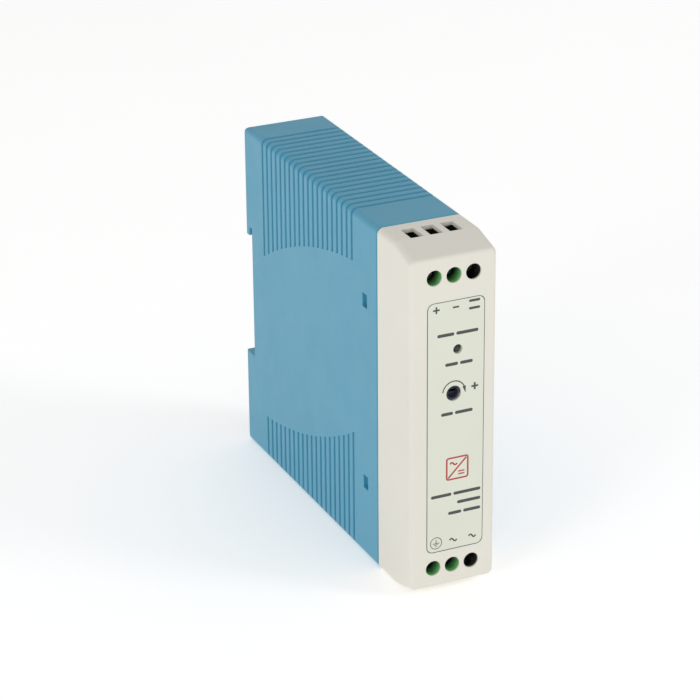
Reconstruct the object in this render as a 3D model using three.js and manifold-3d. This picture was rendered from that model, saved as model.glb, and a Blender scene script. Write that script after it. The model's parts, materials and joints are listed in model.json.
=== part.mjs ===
// DIN rail power supply: ribbed blue case, off-white front cap, clamp terminals, circuit boards and a sprung
// rail latch. Millimetres. +X is to the right seen from the front, +Y runs from the front to the rail,
// +Z is up. The origin is the middle of the underside.
import * as THREE from 'three';
import { mergeVertices } from 'three/addons/utils/BufferGeometryUtils.js';
import Module from 'manifold-3d';

const wasm = await Module();
wasm.setup();

// ---------------------------------------------------------------- driving dimensions
const WIDTH = 22.5;
const HEIGHT = 90;
const DEPTH = 100;
const HALF_WIDTH = WIDTH / 2;
const FRONT = -DEPTH / 2;
const REAR = DEPTH / 2;

const EDGE_RADIUS = 1.6; // long outer edges of the case and the cap
const SEAM = -31.5; // front edge of the case
const SEAM_GAP = 0.3;
const CAP_REAR = SEAM - SEAM_GAP;

const CASE_SIDE_WALL = 1.6;
const CASE_END_WALL = 1.6; // roof and floor of the case
const CASE_REAR_WALL = 1.8;
const CASE_INNER_X = HALF_WIDTH - CASE_SIDE_WALL;

// 35 mm rail: its flange sits in the recess between the fixed hook above and the latch below
const RAIL_HEIGHT = 35;
const RAIL_THICKNESS = 1;
const RAIL_CENTRE_Z = 44.6;
const RAIL_SEAT = 45; // plane that the flange rests on
const RECESS_TOP = RAIL_CENTRE_Z + RAIL_HEIGHT / 2 + 0.5;
const RECESS_BOTTOM = RAIL_CENTRE_Z - RAIL_HEIGHT / 2 - 0.5;
const GRIP_FRONT = RAIL_SEAT + RAIL_THICKNESS + 0.4; // hook and latch nose start here, behind the flange
const UPPER_REAR = REAR - 1.6; // the case is less deep above the rail
const HOOK_LENGTH = 2.4;

// ribs: grooves across the end faces, ending on two arcs on the sides
const GROOVE_COUNT = 20;
const GROOVE_FIRST_Y = 36.6;
const GROOVE_PITCH = 2.853;
const GROOVE_WIDTH = 0.9;
const GROOVE_DEPTH = 0.8;
const ARC_RADIUS = 142;
const ARC_CENTRE_Y = -35.6;
const ARC_CENTRE_Z = -64.1;
const PLAIN_BAND_Y = 9.65; // the lower arc is the upper one turned half round about this point
const PLAIN_BAND_Z = 44.5;

// pockets in the case sides; each is cored out behind a catch on the inside that holds a snap arm of the cap
const WINDOW_HEIGHTS = [68.9, 20.4];
const WINDOW_FRONT = -26.1;
const WINDOW_REAR = -23.5;
const WINDOW_HEIGHT = 3.5;
const WINDOW_FLOOR = 0.55;
const CATCH_REACH = 0.8;
const CATCH_MARGIN = 0.35;
const ARM_OUTER_X = CASE_INNER_X - 0.2;
const ARM_THICKNESS = 1.1;
const ARM_HEIGHT = 5;
const ARM_ROOT_LENGTH = 3.6;
const ARM_TIP = -22.6;

// front cap
const CAP_WALL = 1.5;
const CAP_FRONT_WALL = 1.6;
const CAP_INNER_X = HALF_WIDTH - 1.4;
const CHAMFER_START = -41;
const CHAMFER_DROP = 2.3;
const FRONT_EDGE_RADIUS = 1.2;
const SCREW_HOLE_RADIUS = 1.95;
const SCREW_WALL = 0.5;
const BOSS_HALF_HEIGHT = 3.1;
const BOSS_RIGHT = 2.55; // the boss in front of the terminal block covers the first two poles

// label film in its shallow recess
const LABEL_X = 0.55;
const LABEL_Z = 44;
const LABEL_WIDTH = 14.9;
const LABEL_HEIGHT = 64.8;
const LABEL_RADIUS = 1.3;
const LABEL_THICKNESS = 0.2;

// lamp and output adjuster
const LAMP_X = 1.1;
const LAMP_Z = 63.9;
const LAMP_HOLE_RADIUS = 1.2;
const ADJUST_X = 0.1;
const ADJUST_Z = 52.7;
const ADJUST_HOLE_RADIUS = 1.95;

// terminals: three poles at the top and three at the bottom, heights counted inwards from the end face
const POLE_PITCH = 5.08;
const POLES = [-POLE_PITCH, 0, POLE_PITCH];
const SCREW_INSET = 7.2;
const BLOCK_HALF_WIDTH = 7.95;
const BLOCK_FRONT = -48.1;
const BLOCK_REAR = -34.6;
const BLOCK_INSET = 1.8;
const BLOCK_DEPTH_INSET = 13.2;
const WELL_RADIUS = 2;
const WELL_FLOOR = -44;
const CHAMBER_FRONT = -43.2;
const CHAMBER_REAR = -36.2;
const CHAMBER_HALF_WIDTH = 2.2;
const CHAMBER_END_INSET = 12.2;
const CAGE_FRONT = -41;
const CAGE_REAR = -36.4;
const CAGE_HALF_WIDTH = 2;
const CAGE_HALF_HEIGHT = 2.6;
const CAGE_FRONT_WALL = 1.1;
const CAGE_REAR_WALL = 0.9;
const CAGE_SIDE_WALL = 0.55;
const SCREW_HEAD_FRONT = -45.9;
const SCREW_HEAD_REAR = -44.2;
const SCREW_HEAD_RADIUS = 1.8;
const SCREW_SHANK_RADIUS = 1.2;
const SCREW_TIP = -39.8;
const CONTACT_FRONT = -39.5;
const CONTACT_THICKNESS = 0.6;
const PIN_INSET = 11.5;

// wire entries in the cap's end faces
const ENTRY_FRONT = -41;
const ENTRY_REAR = -35.2;
const ENTRY_HALF_WIDTH = 1.65;
const ENTRY_WALL = 1.05;
const MOUTH_HALF_WIDTH = 1.9; // way through the terminal block, from each wire entry to its clamp
const MOUTH_DEPTH_INSET = 4.5;

// boards
const BOARD_THICKNESS = 1.6;
const TERMINAL_BOARD_FRONT = -34.3;
const TERMINAL_BOARD_REAR = TERMINAL_BOARD_FRONT + BOARD_THICKNESS;
const BOARD_FACE = 7.2; // component side of the main board; parts stand on it towards -X
const MAIN_BOARD_FRONT = -31.9;
const MAIN_BOARD_REAR = 42.6;

// rail latch, sliding in a T-shaped channel in the rear of the case
const LATCH_TRAVEL_CLEARANCE = 0.3;
const LATCH_WIDE_HALF = 6.4;
const LATCH_NARROW_HALF = 4.4;
const CHANNEL_FLOOR = 45.4;
const CHANNEL_STEP = 47.4;
const LATCH_FRONT = CHANNEL_FLOOR + LATCH_TRAVEL_CLEARANCE;
const LATCH_STEP = CHANNEL_STEP - LATCH_TRAVEL_CLEARANCE;
const LATCH_REAR = REAR - 0.2;
const LATCH_BOTTOM = 0.6;
const LATCH_NOSE_TOP = 29.7;
const POCKET_HALF_WIDTH = 1.9;
const POCKET_REAR = 48.6;
const POCKET_BOTTOM = 8;
const POCKET_TOP = 20;
const STOP_BOTTOM = 8.3;
const STOP_TOP = 11.3;

const ROUND = 20; // sides of the larger round pieces
const SMALL_ROUND = 12;
const CORNER_STEPS = 3;

// ---------------------------------------------------------------- materials
const material = (color, roughness, metalness = 0) =>
  new THREE.MeshStandardMaterial({ color, roughness, metalness });
const BLUE_PLASTIC = material(0x67a5bf, 0.5);
const WHITE_PLASTIC = material(0xdddcd2, 0.5);
const LABEL_FILM = material(0xd7dbcd, 0.4);
const GREEN_PLASTIC = material(0x4d9a59, 0.5);
const DARK_PLASTIC = material(0x2b2d31, 0.5);
const BLACK_PLASTIC = material(0x17181a, 0.5);
const CLEAR_LENS = material(0x2f5a50, 0.1);
const STEEL = material(0xb9bcbf, 0.3, 1);
const BRASS = material(0xc9a85a, 0.3, 1);
const ALUMINIUM = material(0xb4b7ba, 0.4, 1);
const BOARD_GREEN = material(0x2d6a3c, 0.6);
const FERRITE = material(0x3a3a3c, 0.7);
const TAPE_YELLOW = material(0xd8b63c, 0.5);
const COPPER_WIRE = material(0xa8592a, 0.4, 0.6);
const CAPACITOR_SLEEVE = material(0x23262b, 0.4);
const FILM_BOX = material(0xd9a93b, 0.5);
const CERAMIC_BLUE = material(0x2f62a8, 0.5);
const FUSE_BODY = material(0xcfc9b8, 0.3);
const CLEAR_FILM = material(0xe6e2d6, 0.4);

// ---------------------------------------------------------------- geometry helpers
function toManifold(source) {
  const bare = source.clone();
  bare.deleteAttribute('normal');
  bare.deleteAttribute('uv');
  const merged = mergeVertices(bare, 1e-4);
  const index = merged.index.array;
  const triangles = [];
  for (let i = 0; i < index.length; i += 3) {
    const [a, b, c] = [index[i], index[i + 1], index[i + 2]];
    if (a !== b && b !== c && c !== a) triangles.push(a, b, c);
  }
  return new wasm.Manifold(new wasm.Mesh({
    numProp: 3,
    vertProperties: new Float32Array(merged.attributes.position.array),
    triVerts: new Uint32Array(triangles),
  }));
}

function toGeometry(manifold) {
  const mesh = manifold.getMesh();
  const geometry = new THREE.BufferGeometry();
  geometry.setAttribute('position', new THREE.BufferAttribute(new Float32Array(mesh.vertProperties), 3));
  geometry.setIndex(new THREE.BufferAttribute(new Uint32Array(mesh.triVerts), 1));
  return geometry;
}

const fuse = (...pieces) => pieces.map(toManifold).reduce((all, next) => all.add(next));
const cut = (body, cutters) => cutters.map(toManifold).reduce((rest, next) => rest.subtract(next), body);
const overlap = (...pieces) => pieces.map(toManifold).reduce((all, next) => all.intersect(next));

function box(x0, x1, y0, y1, z0, z1) {
  const geometry = new THREE.BoxGeometry(Math.abs(x1 - x0), Math.abs(y1 - y0), Math.abs(z1 - z0));
  return geometry.translate((x0 + x1) / 2, (y0 + y1) / 2, (z0 + z1) / 2);
}

function extrude(outline, depth) {
  const shape = new THREE.Shape(outline.map(([u, v]) => new THREE.Vector2(u, v)));
  return new THREE.ExtrudeGeometry(shape, { depth, bevelEnabled: false });
}

// outline of [y, z] points carried along X
function profileX(outline, x0, x1) {
  const turn = new THREE.Matrix4().set(0, 0, 1, x0, 1, 0, 0, 0, 0, 1, 0, 0, 0, 0, 0, 1);
  return extrude(outline, x1 - x0).applyMatrix4(turn);
}

// outline of [x, z] points carried along Y
function profileY(outline, y0, y1) {
  const turn = new THREE.Matrix4().set(1, 0, 0, 0, 0, 0, -1, y1, 0, 1, 0, 0, 0, 0, 0, 1);
  return extrude(outline, y1 - y0).applyMatrix4(turn);
}

// outline of [x, y] points carried along Z
function profileZ(outline, z0, z1) {
  return extrude(outline, z1 - z0).translate(0, 0, z0);
}

// points of a quarter round between two directions, in degrees
function arc(u, v, radius, from, to, steps = CORNER_STEPS) {
  return Array.from({ length: steps + 1 }, (_, i) => {
    const angle = THREE.MathUtils.degToRad(from + ((to - from) * i) / steps);
    return [u + radius * Math.cos(angle), v + radius * Math.sin(angle)];
  });
}

function roundedRectangle(u0, u1, v0, v1, radius) {
  return [
    ...arc(u1 - radius, v0 + radius, radius, -90, 0),
    ...arc(u1 - radius, v1 - radius, radius, 0, 90),
    ...arc(u0 + radius, v1 - radius, radius, 90, 180),
    ...arc(u0 + radius, v0 + radius, radius, 180, 270),
  ];
}

function rodY(x, z, radius, y0, y1, sides = ROUND) {
  const rod = new THREE.CylinderGeometry(radius, radius, y1 - y0, sides);
  return rod.translate(x, (y0 + y1) / 2, z);
}

function rodZ(x, y, radius, z0, z1, sides = ROUND) {
  const rod = new THREE.CylinderGeometry(radius, radius, z1 - z0, sides);
  return rod.rotateX(Math.PI / 2).translate(x, y, (z0 + z1) / 2);
}

// turned piece from [radius, height] points, standing along +Y of its own frame
function turned(profile, sides = ROUND) {
  return new THREE.LatheGeometry(profile.map(([r, h]) => new THREE.Vector2(r, h)), sides);
}

const assembly = new THREE.Group();
assembly.name = 'din_rail_power_supply';

function addPart(name, shape, finish) {
  const geometry = shape.isBufferGeometry ? toGeometry(toManifold(shape)) : toGeometry(shape);
  const mesh = new THREE.Mesh(geometry, finish);
  mesh.name = name;
  assembly.add(mesh);
}

// ---------------------------------------------------------------- case
function upperGrooveEnd(y) {
  return ARC_CENTRE_Z + Math.sqrt(ARC_RADIUS ** 2 - (y - ARC_CENTRE_Y) ** 2);
}

function lowerGrooveEnd(y) {
  return 2 * PLAIN_BAND_Z - upperGrooveEnd(2 * PLAIN_BAND_Y - y);
}

// U-shaped cutter for one groove: up both sides and across the end face
function grooveCutter(y, endZ, upper) {
  const edge = HALF_WIDTH - GROOVE_DEPTH;
  const radius = EDGE_RADIUS - GROOVE_DEPTH;
  const lift = HEIGHT - GROOVE_DEPTH - radius;
  const side = edge - radius;
  const beyond = 1;
  const top = [
    [-HALF_WIDTH - beyond, endZ],
    [-HALF_WIDTH - beyond, HEIGHT + beyond],
    [HALF_WIDTH + beyond, HEIGHT + beyond],
    [HALF_WIDTH + beyond, endZ],
    [edge, endZ],
    ...arc(side, lift, radius, 0, 90, 2),
    ...arc(-side, lift, radius, 90, 180, 2),
    [-edge, endZ],
  ];
  const outline = upper ? top : top.map(([x, z]) => [x, HEIGHT - z]);
  return profileY(outline, y - GROOVE_WIDTH / 2, y + GROOVE_WIDTH / 2);
}

function grooveCutters() {
  return Array.from({ length: GROOVE_COUNT }, (_, i) => {
    const y = GROOVE_FIRST_Y - i * GROOVE_PITCH;
    return [grooveCutter(y, upperGrooveEnd(y), true), grooveCutter(y, HEIGHT - lowerGrooveEnd(y), false)];
  }).flat();
}

function caseSideOutline() {
  const hookTip = RECESS_TOP - HOOK_LENGTH;
  return [
    [SEAM, 0],
    [REAR, 0],
    [REAR, RECESS_BOTTOM],
    [RAIL_SEAT, RECESS_BOTTOM],
    [RAIL_SEAT, RECESS_TOP],
    [GRIP_FRONT, RECESS_TOP],
    [GRIP_FRONT, hookTip + 0.6],
    [GRIP_FRONT + 0.6, hookTip],
    [UPPER_REAR, hookTip],
    ...arc(UPPER_REAR - 2, HEIGHT - 2, 2, 0, 90),
    [SEAM, HEIGHT],
  ];
}

function caseCavityOutline() {
  const lowerWall = RAIL_SEAT - CASE_REAR_WALL;
  const upperWall = UPPER_REAR - CASE_REAR_WALL;
  const step = RECESS_TOP + CASE_REAR_WALL;
  const beyond = 1;
  return [
    [SEAM - beyond, CASE_END_WALL],
    [lowerWall, CASE_END_WALL],
    [lowerWall, step],
    [upperWall, step],
    [upperWall, HEIGHT - CASE_END_WALL],
    [SEAM - beyond, HEIGHT - CASE_END_WALL],
  ];
}

// one rib on the floor and one on the roof hold the main board against the wall
function boardGuides() {
  const [inner, outer] = [BOARD_FACE - 1.3, BOARD_FACE - 0.3];
  const [front, rear] = [-20, 41];
  const reach = CASE_END_WALL + 1.3;
  const root = CASE_END_WALL - 0.4;
  return [
    box(inner, outer, front, rear, root, reach),
    box(inner, outer, front, rear, HEIGHT - reach, HEIGHT - root),
  ];
}

function snapPockets() {
  return WINDOW_HEIGHTS.flatMap((z) => [-1, 1].map((side) => box(
    side * (CASE_INNER_X + WINDOW_FLOOR), side * (HALF_WIDTH + 1),
    WINDOW_FRONT, WINDOW_REAR, z - WINDOW_HEIGHT / 2, z + WINDOW_HEIGHT / 2,
  )));
}

// catch on the inside of each pocket, with a ramp that the cap's arm rides over
function snapCatches() {
  const [front, rear] = [WINDOW_FRONT + CATCH_MARGIN, WINDOW_REAR - CATCH_MARGIN];
  const half = WINDOW_HEIGHT / 2 - CATCH_MARGIN;
  return WINDOW_HEIGHTS.flatMap((z) => [-1, 1].map((side) => profileZ([
    [side * (CASE_INNER_X + 0.3), front],
    [side * (CASE_INNER_X - 0.1), front],
    [side * (CASE_INNER_X - CATCH_REACH), rear - 0.6],
    [side * (CASE_INNER_X - CATCH_REACH), rear],
    [side * (CASE_INNER_X + 0.3), rear],
  ], z - half, z + half)));
}

function latchChannel() {
  const wide = LATCH_WIDE_HALF + LATCH_TRAVEL_CLEARANCE;
  const narrow = LATCH_NARROW_HALF + LATCH_TRAVEL_CLEARANCE;
  return [
    box(-wide, wide, CHANNEL_FLOOR, CHANNEL_STEP, -1, RECESS_BOTTOM + 1),
    box(-narrow, narrow, CHANNEL_STEP - 0.1, REAR + 1, -1, RECESS_BOTTOM + 1),
  ];
}

function buildCase() {
  const block = profileY(roundedRectangle(-HALF_WIDTH, HALF_WIDTH, 0, HEIGHT, EDGE_RADIUS), SEAM, REAR);
  const outer = overlap(block, profileX(caseSideOutline(), -HALF_WIDTH - 1, HALF_WIDTH + 1));
  const cavity = profileX(caseCavityOutline(), -CASE_INNER_X, CASE_INNER_X);
  const springStop = box(-1.5, 1.5, CHANNEL_FLOOR - 0.4, POCKET_REAR - 0.4, STOP_BOTTOM, STOP_TOP);
  const hollow = cut(outer, [cavity, ...grooveCutters(), ...snapPockets(), ...latchChannel()]);
  addPart('housing_shell', hollow.add(fuse(...boardGuides(), ...snapCatches(), springStop)), BLUE_PLASTIC);
}

// ---------------------------------------------------------------- front cap and label
// height at a distance in from the top or the bottom
const inset = (atTop, distance) => (atTop ? HEIGHT - distance : distance);
const chamferInset = (y) => (CHAMFER_DROP * (CHAMFER_START - y)) / (CHAMFER_START - FRONT);

function capOuter() {
  const endOutline = [
    [CAP_REAR, 0],
    [CHAMFER_START, 0],
    [FRONT, CHAMFER_DROP],
    [FRONT, HEIGHT - CHAMFER_DROP],
    [CHAMFER_START, HEIGHT],
    [CAP_REAR, HEIGHT],
  ];
  const planOutline = [
    [HALF_WIDTH, CAP_REAR],
    [-HALF_WIDTH, CAP_REAR],
    ...arc(-HALF_WIDTH + FRONT_EDGE_RADIUS, FRONT + FRONT_EDGE_RADIUS, FRONT_EDGE_RADIUS, 180, 270),
    ...arc(HALF_WIDTH - FRONT_EDGE_RADIUS, FRONT + FRONT_EDGE_RADIUS, FRONT_EDGE_RADIUS, 270, 360),
  ];
  return overlap(
    profileY(roundedRectangle(-HALF_WIDTH, HALF_WIDTH, 0, HEIGHT, EDGE_RADIUS), FRONT, CAP_REAR),
    profileX(endOutline, -HALF_WIDTH - 1, HALF_WIDTH + 1),
    profileZ(planOutline, -1, HEIGHT + 1),
  );
}

function capCavity() {
  const innerFront = FRONT + CAP_FRONT_WALL;
  const frontInset = CAP_WALL + chamferInset(innerFront);
  return profileX([
    [CAP_REAR + 1, CAP_WALL],
    [CHAMFER_START, CAP_WALL],
    [innerFront, frontInset],
    [innerFront, HEIGHT - frontInset],
    [CHAMFER_START, HEIGHT - CAP_WALL],
    [CAP_REAR + 1, HEIGHT - CAP_WALL],
  ], -CAP_INNER_X, CAP_INNER_X);
}

function wireEntry(x, atTop) {
  return box(x - ENTRY_HALF_WIDTH, x + ENTRY_HALF_WIDTH, ENTRY_FRONT, ENTRY_REAR,
    inset(atTop, -1), inset(atTop, CAP_WALL + 0.5));
}

// the walls are thinner round the wire entries, and in front of the boss of each terminal block
function wallReliefs() {
  const half = BLOCK_HALF_WIDTH + 0.3;
  const reach = BOSS_HALF_HEIGHT + 0.2;
  return [true, false].flatMap((atTop) => {
    const z = inset(atTop, SCREW_INSET);
    return [
      box(-half, half, ENTRY_FRONT + 0.1, ENTRY_REAR + 0.6,
        inset(atTop, ENTRY_WALL), inset(atTop, CAP_WALL + 1)),
      box(-half, half, FRONT + SCREW_WALL, FRONT + CAP_FRONT_WALL + 1, z - reach, z + reach),
    ];
  });
}

function faceHole(x, z, radius) {
  return rodY(x, z, radius, FRONT - 1, FRONT + CAP_FRONT_WALL + 1);
}

function labelOutline(margin) {
  return roundedRectangle(
    LABEL_X - LABEL_WIDTH / 2 - margin, LABEL_X + LABEL_WIDTH / 2 + margin,
    LABEL_Z - LABEL_HEIGHT / 2 - margin, LABEL_Z + LABEL_HEIGHT / 2 + margin, LABEL_RADIUS + margin,
  );
}

// snap arm with a slot that closes over the catch inside the case
function snapArm(side, z) {
  const inner = ARM_OUTER_X - ARM_THICKNESS;
  const [bottom, top] = [z - ARM_HEIGHT / 2, z + ARM_HEIGHT / 2];
  const rootFront = CAP_REAR - ARM_ROOT_LENGTH;
  const root = box(side * inner, side * (CAP_INNER_X + 0.4), rootFront, CAP_REAR - 0.1, bottom, top);
  const arm = box(side * inner, side * ARM_OUTER_X, rootFront, ARM_TIP, bottom, top);
  const slot = box(side * (inner - 1), side * (ARM_OUTER_X + 1), WINDOW_FRONT, WINDOW_REAR,
    z - WINDOW_HEIGHT / 2, z + WINDOW_HEIGHT / 2);
  return cut(fuse(root, arm), [slot]);
}

function buildCap() {
  const screwHoles = [SCREW_INSET, HEIGHT - SCREW_INSET].flatMap((z) => (
    POLES.map((x) => faceHole(x, z, SCREW_HOLE_RADIUS))
  ));
  const entries = [true, false].flatMap((atTop) => POLES.map((x) => wireEntry(x, atTop)));
  const shell = cut(capOuter(), [
    capCavity(),
    ...wallReliefs(),
    ...screwHoles,
    ...entries,
    faceHole(LAMP_X, LAMP_Z, LAMP_HOLE_RADIUS),
    faceHole(ADJUST_X, ADJUST_Z, ADJUST_HOLE_RADIUS),
    profileY(labelOutline(0.1), FRONT - 1, FRONT + LABEL_THICKNESS + 0.02),
  ]);
  const arms = WINDOW_HEIGHTS.flatMap((z) => [-1, 1].map((side) => snapArm(side, z)));
  addPart('front_cap', arms.reduce((all, arm) => all.add(arm), shell), WHITE_PLASTIC);
}

function buildLabel() {
  const film = toManifold(profileY(labelOutline(0), FRONT, FRONT + LABEL_THICKNESS));
  const openings = [
    faceHole(LAMP_X, LAMP_Z, LAMP_HOLE_RADIUS),
    faceHole(ADJUST_X, ADJUST_Z, ADJUST_HOLE_RADIUS),
  ];
  addPart('front_label', cut(film, openings), LABEL_FILM);
}

// ---------------------------------------------------------------- terminals

function terminalBlock(atTop) {
  const level = (distance) => inset(atTop, distance);
  const frontInset = BLOCK_INSET + chamferInset(BLOCK_FRONT) + 0.2;
  const blank = profileX([
    [BLOCK_REAR, level(BLOCK_INSET)],
    [CHAMFER_START, level(BLOCK_INSET)],
    [BLOCK_FRONT, level(frontInset)],
    [BLOCK_FRONT, level(BLOCK_DEPTH_INSET)],
    [BLOCK_REAR, level(BLOCK_DEPTH_INSET)],
  ], -BLOCK_HALF_WIDTH, BLOCK_HALF_WIDTH);
  const screwZ = level(SCREW_INSET);
  const bossFront = FRONT + SCREW_WALL + 0.2;
  const boss = box(-BLOCK_HALF_WIDTH + 0.1, BOSS_RIGHT, bossFront, BLOCK_FRONT + 0.5,
    screwZ - BOSS_HALF_HEIGHT, screwZ + BOSS_HALF_HEIGHT);
  const body = fuse(blank, boss);
  const shankWay = SCREW_SHANK_RADIUS + 0.25;
  const poleCuts = POLES.flatMap((x) => [
    rodY(x, screwZ, WELL_RADIUS, FRONT, WELL_FLOOR),
    rodY(x, screwZ, shankWay, WELL_FLOOR - 0.5, CHAMBER_FRONT + 0.5, SMALL_ROUND),
    box(x - CHAMBER_HALF_WIDTH, x + CHAMBER_HALF_WIDTH, CHAMBER_FRONT, CHAMBER_REAR,
      level(0), level(CHAMBER_END_INSET)),
    box(x - MOUTH_HALF_WIDTH, x + MOUTH_HALF_WIDTH, ENTRY_FRONT - 0.2, ENTRY_REAR + 0.2,
      level(0), level(MOUTH_DEPTH_INSET)),
    box(x - 0.6, x + 0.6, CHAMBER_REAR - 0.5, BLOCK_REAR + 1, level(PIN_INSET - 0.6), level(PIN_INSET + 0.6)),
  ]);
  // the last pole has no walls in front of its screw
  const openFront = box(BOSS_RIGHT + 0.2, BLOCK_HALF_WIDTH + 1, BLOCK_FRONT - 1, WELL_FLOOR,
    level(0), level(BLOCK_DEPTH_INSET + 1));
  return cut(body, [...poleCuts, openFront]);
}

function terminalScrew(x, z) {
  const headLength = SCREW_HEAD_REAR - SCREW_HEAD_FRONT;
  const shape = turned([
    [0, 0],
    [SCREW_HEAD_RADIUS - 0.25, 0],
    [SCREW_HEAD_RADIUS, 0.25],
    [SCREW_HEAD_RADIUS, headLength],
    [SCREW_SHANK_RADIUS, headLength],
    [SCREW_SHANK_RADIUS, SCREW_TIP - SCREW_HEAD_FRONT],
    [0, SCREW_TIP - SCREW_HEAD_FRONT],
  ], SMALL_ROUND).translate(x, SCREW_HEAD_FRONT, z);
  const slot = box(x - 2, x + 2, SCREW_HEAD_FRONT - 1, SCREW_HEAD_FRONT + 0.9, z - 0.35, z + 0.35);
  return cut(toManifold(shape), [slot]);
}

function clampCage(x, z) {
  const [bottom, top] = [z - CAGE_HALF_HEIGHT, z + CAGE_HALF_HEIGHT];
  const wayFront = CAGE_FRONT + CAGE_FRONT_WALL;
  const wayRear = CAGE_REAR - CAGE_REAR_WALL;
  const wayHalf = CAGE_HALF_WIDTH - CAGE_SIDE_WALL;
  const frame = toManifold(box(x - CAGE_HALF_WIDTH, x + CAGE_HALF_WIDTH, CAGE_FRONT, CAGE_REAR, bottom, top));
  const wireWay = box(x - wayHalf, x + wayHalf, wayFront, wayRear, bottom - 1, top + 1);
  const thread = rodY(x, z, SCREW_SHANK_RADIUS + 0.2, CAGE_FRONT - 1, wayFront + 0.5, SMALL_ROUND);
  return cut(frame, [wireWay, thread]);
}

function contactBar(x, atTop) {
  const level = (distance) => inset(atTop, distance);
  const barRear = CONTACT_FRONT + CONTACT_THICKNESS;
  const bar = box(x - 1.1, x + 1.1, CONTACT_FRONT, barRear, level(3.9), level(12.1));
  const pin = box(x - 0.4, x + 0.4, CONTACT_FRONT, TERMINAL_BOARD_REAR + 0.7,
    level(PIN_INSET - 0.4), level(PIN_INSET + 0.4));
  return fuse(bar, pin);
}

function buildTerminals() {
  addPart('terminal_block_output', terminalBlock(true), GREEN_PLASTIC);
  addPart('terminal_block_input', terminalBlock(false), GREEN_PLASTIC);
  let number = 0;
  for (const atTop of [true, false]) {
    for (const x of POLES) {
      number += 1;
      const z = inset(atTop, SCREW_INSET);
      addPart(`terminal_screw_${number}`, terminalScrew(x, z), STEEL);
      addPart(`clamp_cage_${number}`, clampCage(x, z), STEEL);
      addPart(`contact_${number}`, contactBar(x, atTop), BRASS);
    }
  }
}

// ---------------------------------------------------------------- lamp and adjuster
function buildLamp() {
  const tip = FRONT + 0.35;
  const radius = LAMP_HOLE_RADIUS - 0.12;
  const flangeFront = FRONT + CAP_FRONT_WALL + 0.1;
  const tail = -38.9;
  const dome = arc(0, tip + radius, radius, -90, 0, 4);
  const pipe = turned([
    ...dome,
    [radius, flangeFront],
    [radius + 0.7, flangeFront],
    [radius + 0.7, flangeFront + 0.8],
    [radius, flangeFront + 0.8],
    [radius, tail],
    [0, tail],
  ], SMALL_ROUND).translate(LAMP_X, 0, LAMP_Z);
  addPart('light_pipe', pipe, CLEAR_LENS);
  const lamp = turned([
    [0, -38.6],
    ...arc(0, -37.1, 1.5, -60, 0, 3),
    [1.5, -35.3],
    [1.8, -35.3],
    [1.8, TERMINAL_BOARD_FRONT],
    [0, TERMINAL_BOARD_FRONT],
  ], SMALL_ROUND).translate(LAMP_X, 0, LAMP_Z);
  addPart('status_led', lamp, CLEAR_LENS);
}

function buildAdjuster() {
  const bodyFront = -39.1;
  const socketFloor = -37.6;
  const half = 3.3;
  const body = toManifold(profileY(
    roundedRectangle(ADJUST_X - half, ADJUST_X + half, ADJUST_Z - half, ADJUST_Z + half, 0.5),
    bodyFront, TERMINAL_BOARD_FRONT,
  ));
  const socket = rodY(ADJUST_X, ADJUST_Z, 1.95, bodyFront - 1, socketFloor);
  addPart('trimmer_body', cut(body, [socket]), DARK_PLASTIC);
  const tip = FRONT + 0.4;
  const cupFloor = tip + 1.5;
  const shaft = toManifold(rodY(ADJUST_X, ADJUST_Z, 1.72, tip, socketFloor - 0.2));
  const cup = rodY(ADJUST_X, ADJUST_Z, 1.4, tip - 1, cupFloor, SMALL_ROUND);
  const [slotHalfLength, slotHalfWidth] = [1.38, 0.3];
  const slot = box(ADJUST_X - slotHalfLength, ADJUST_X + slotHalfLength, cupFloor - 0.1, cupFloor + 0.8,
    ADJUST_Z - slotHalfWidth, ADJUST_Z + slotHalfWidth);
  addPart('trimmer_rotor', cut(shaft, [cup, slot]), BLACK_PLASTIC);
}

// ---------------------------------------------------------------- circuit boards
function buildBoards() {
  const notchHalf = 3;
  const half = 9.3;
  const front = toManifold(box(-half, half, TERMINAL_BOARD_FRONT, TERMINAL_BOARD_REAR, 3.2, HEIGHT - 3.2));
  const [before, behind] = [TERMINAL_BOARD_FRONT - 1, TERMINAL_BOARD_REAR + 1];
  const armNotches = WINDOW_HEIGHTS.flatMap((z) => [-1, 1].map((side) => (
    box(side * 8, side * (half + 1), before, behind, z - notchHalf, z + notchHalf)
  )));
  const pinHoles = [PIN_INSET, HEIGHT - PIN_INSET].flatMap((z) => POLES.map((x) => (
    rodY(x, z, 0.75, before, behind, 8)
  )));
  addPart('terminal_board', cut(front, [...armNotches, ...pinHoles]), BOARD_GREEN);

  const back = BOARD_FACE + BOARD_THICKNESS;
  const notchRear = ARM_TIP + 0.6;
  const main = toManifold(box(BOARD_FACE, back, MAIN_BOARD_FRONT, MAIN_BOARD_REAR, 2.1, HEIGHT - 2.1));
  const edgeNotches = WINDOW_HEIGHTS.map((z) => (
    box(BOARD_FACE - 1, back + 1, MAIN_BOARD_FRONT - 1, notchRear, z - notchHalf, z + notchHalf)
  ));
  addPart('main_board', cut(main, edgeNotches), BOARD_GREEN);
  const sheet = box(back + 0.3, back + 0.6, notchRear + 0.5, MAIN_BOARD_REAR, 2.4, HEIGHT - 2.4);
  addPart('insulating_sheet', sheet, CLEAR_FILM);
  const header = box(BOARD_FACE - 2.6, BOARD_FACE, TERMINAL_BOARD_REAR + 0.1, -29.6, 34, 56);
  addPart('board_header', header, BLACK_PLASTIC);
}

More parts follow.
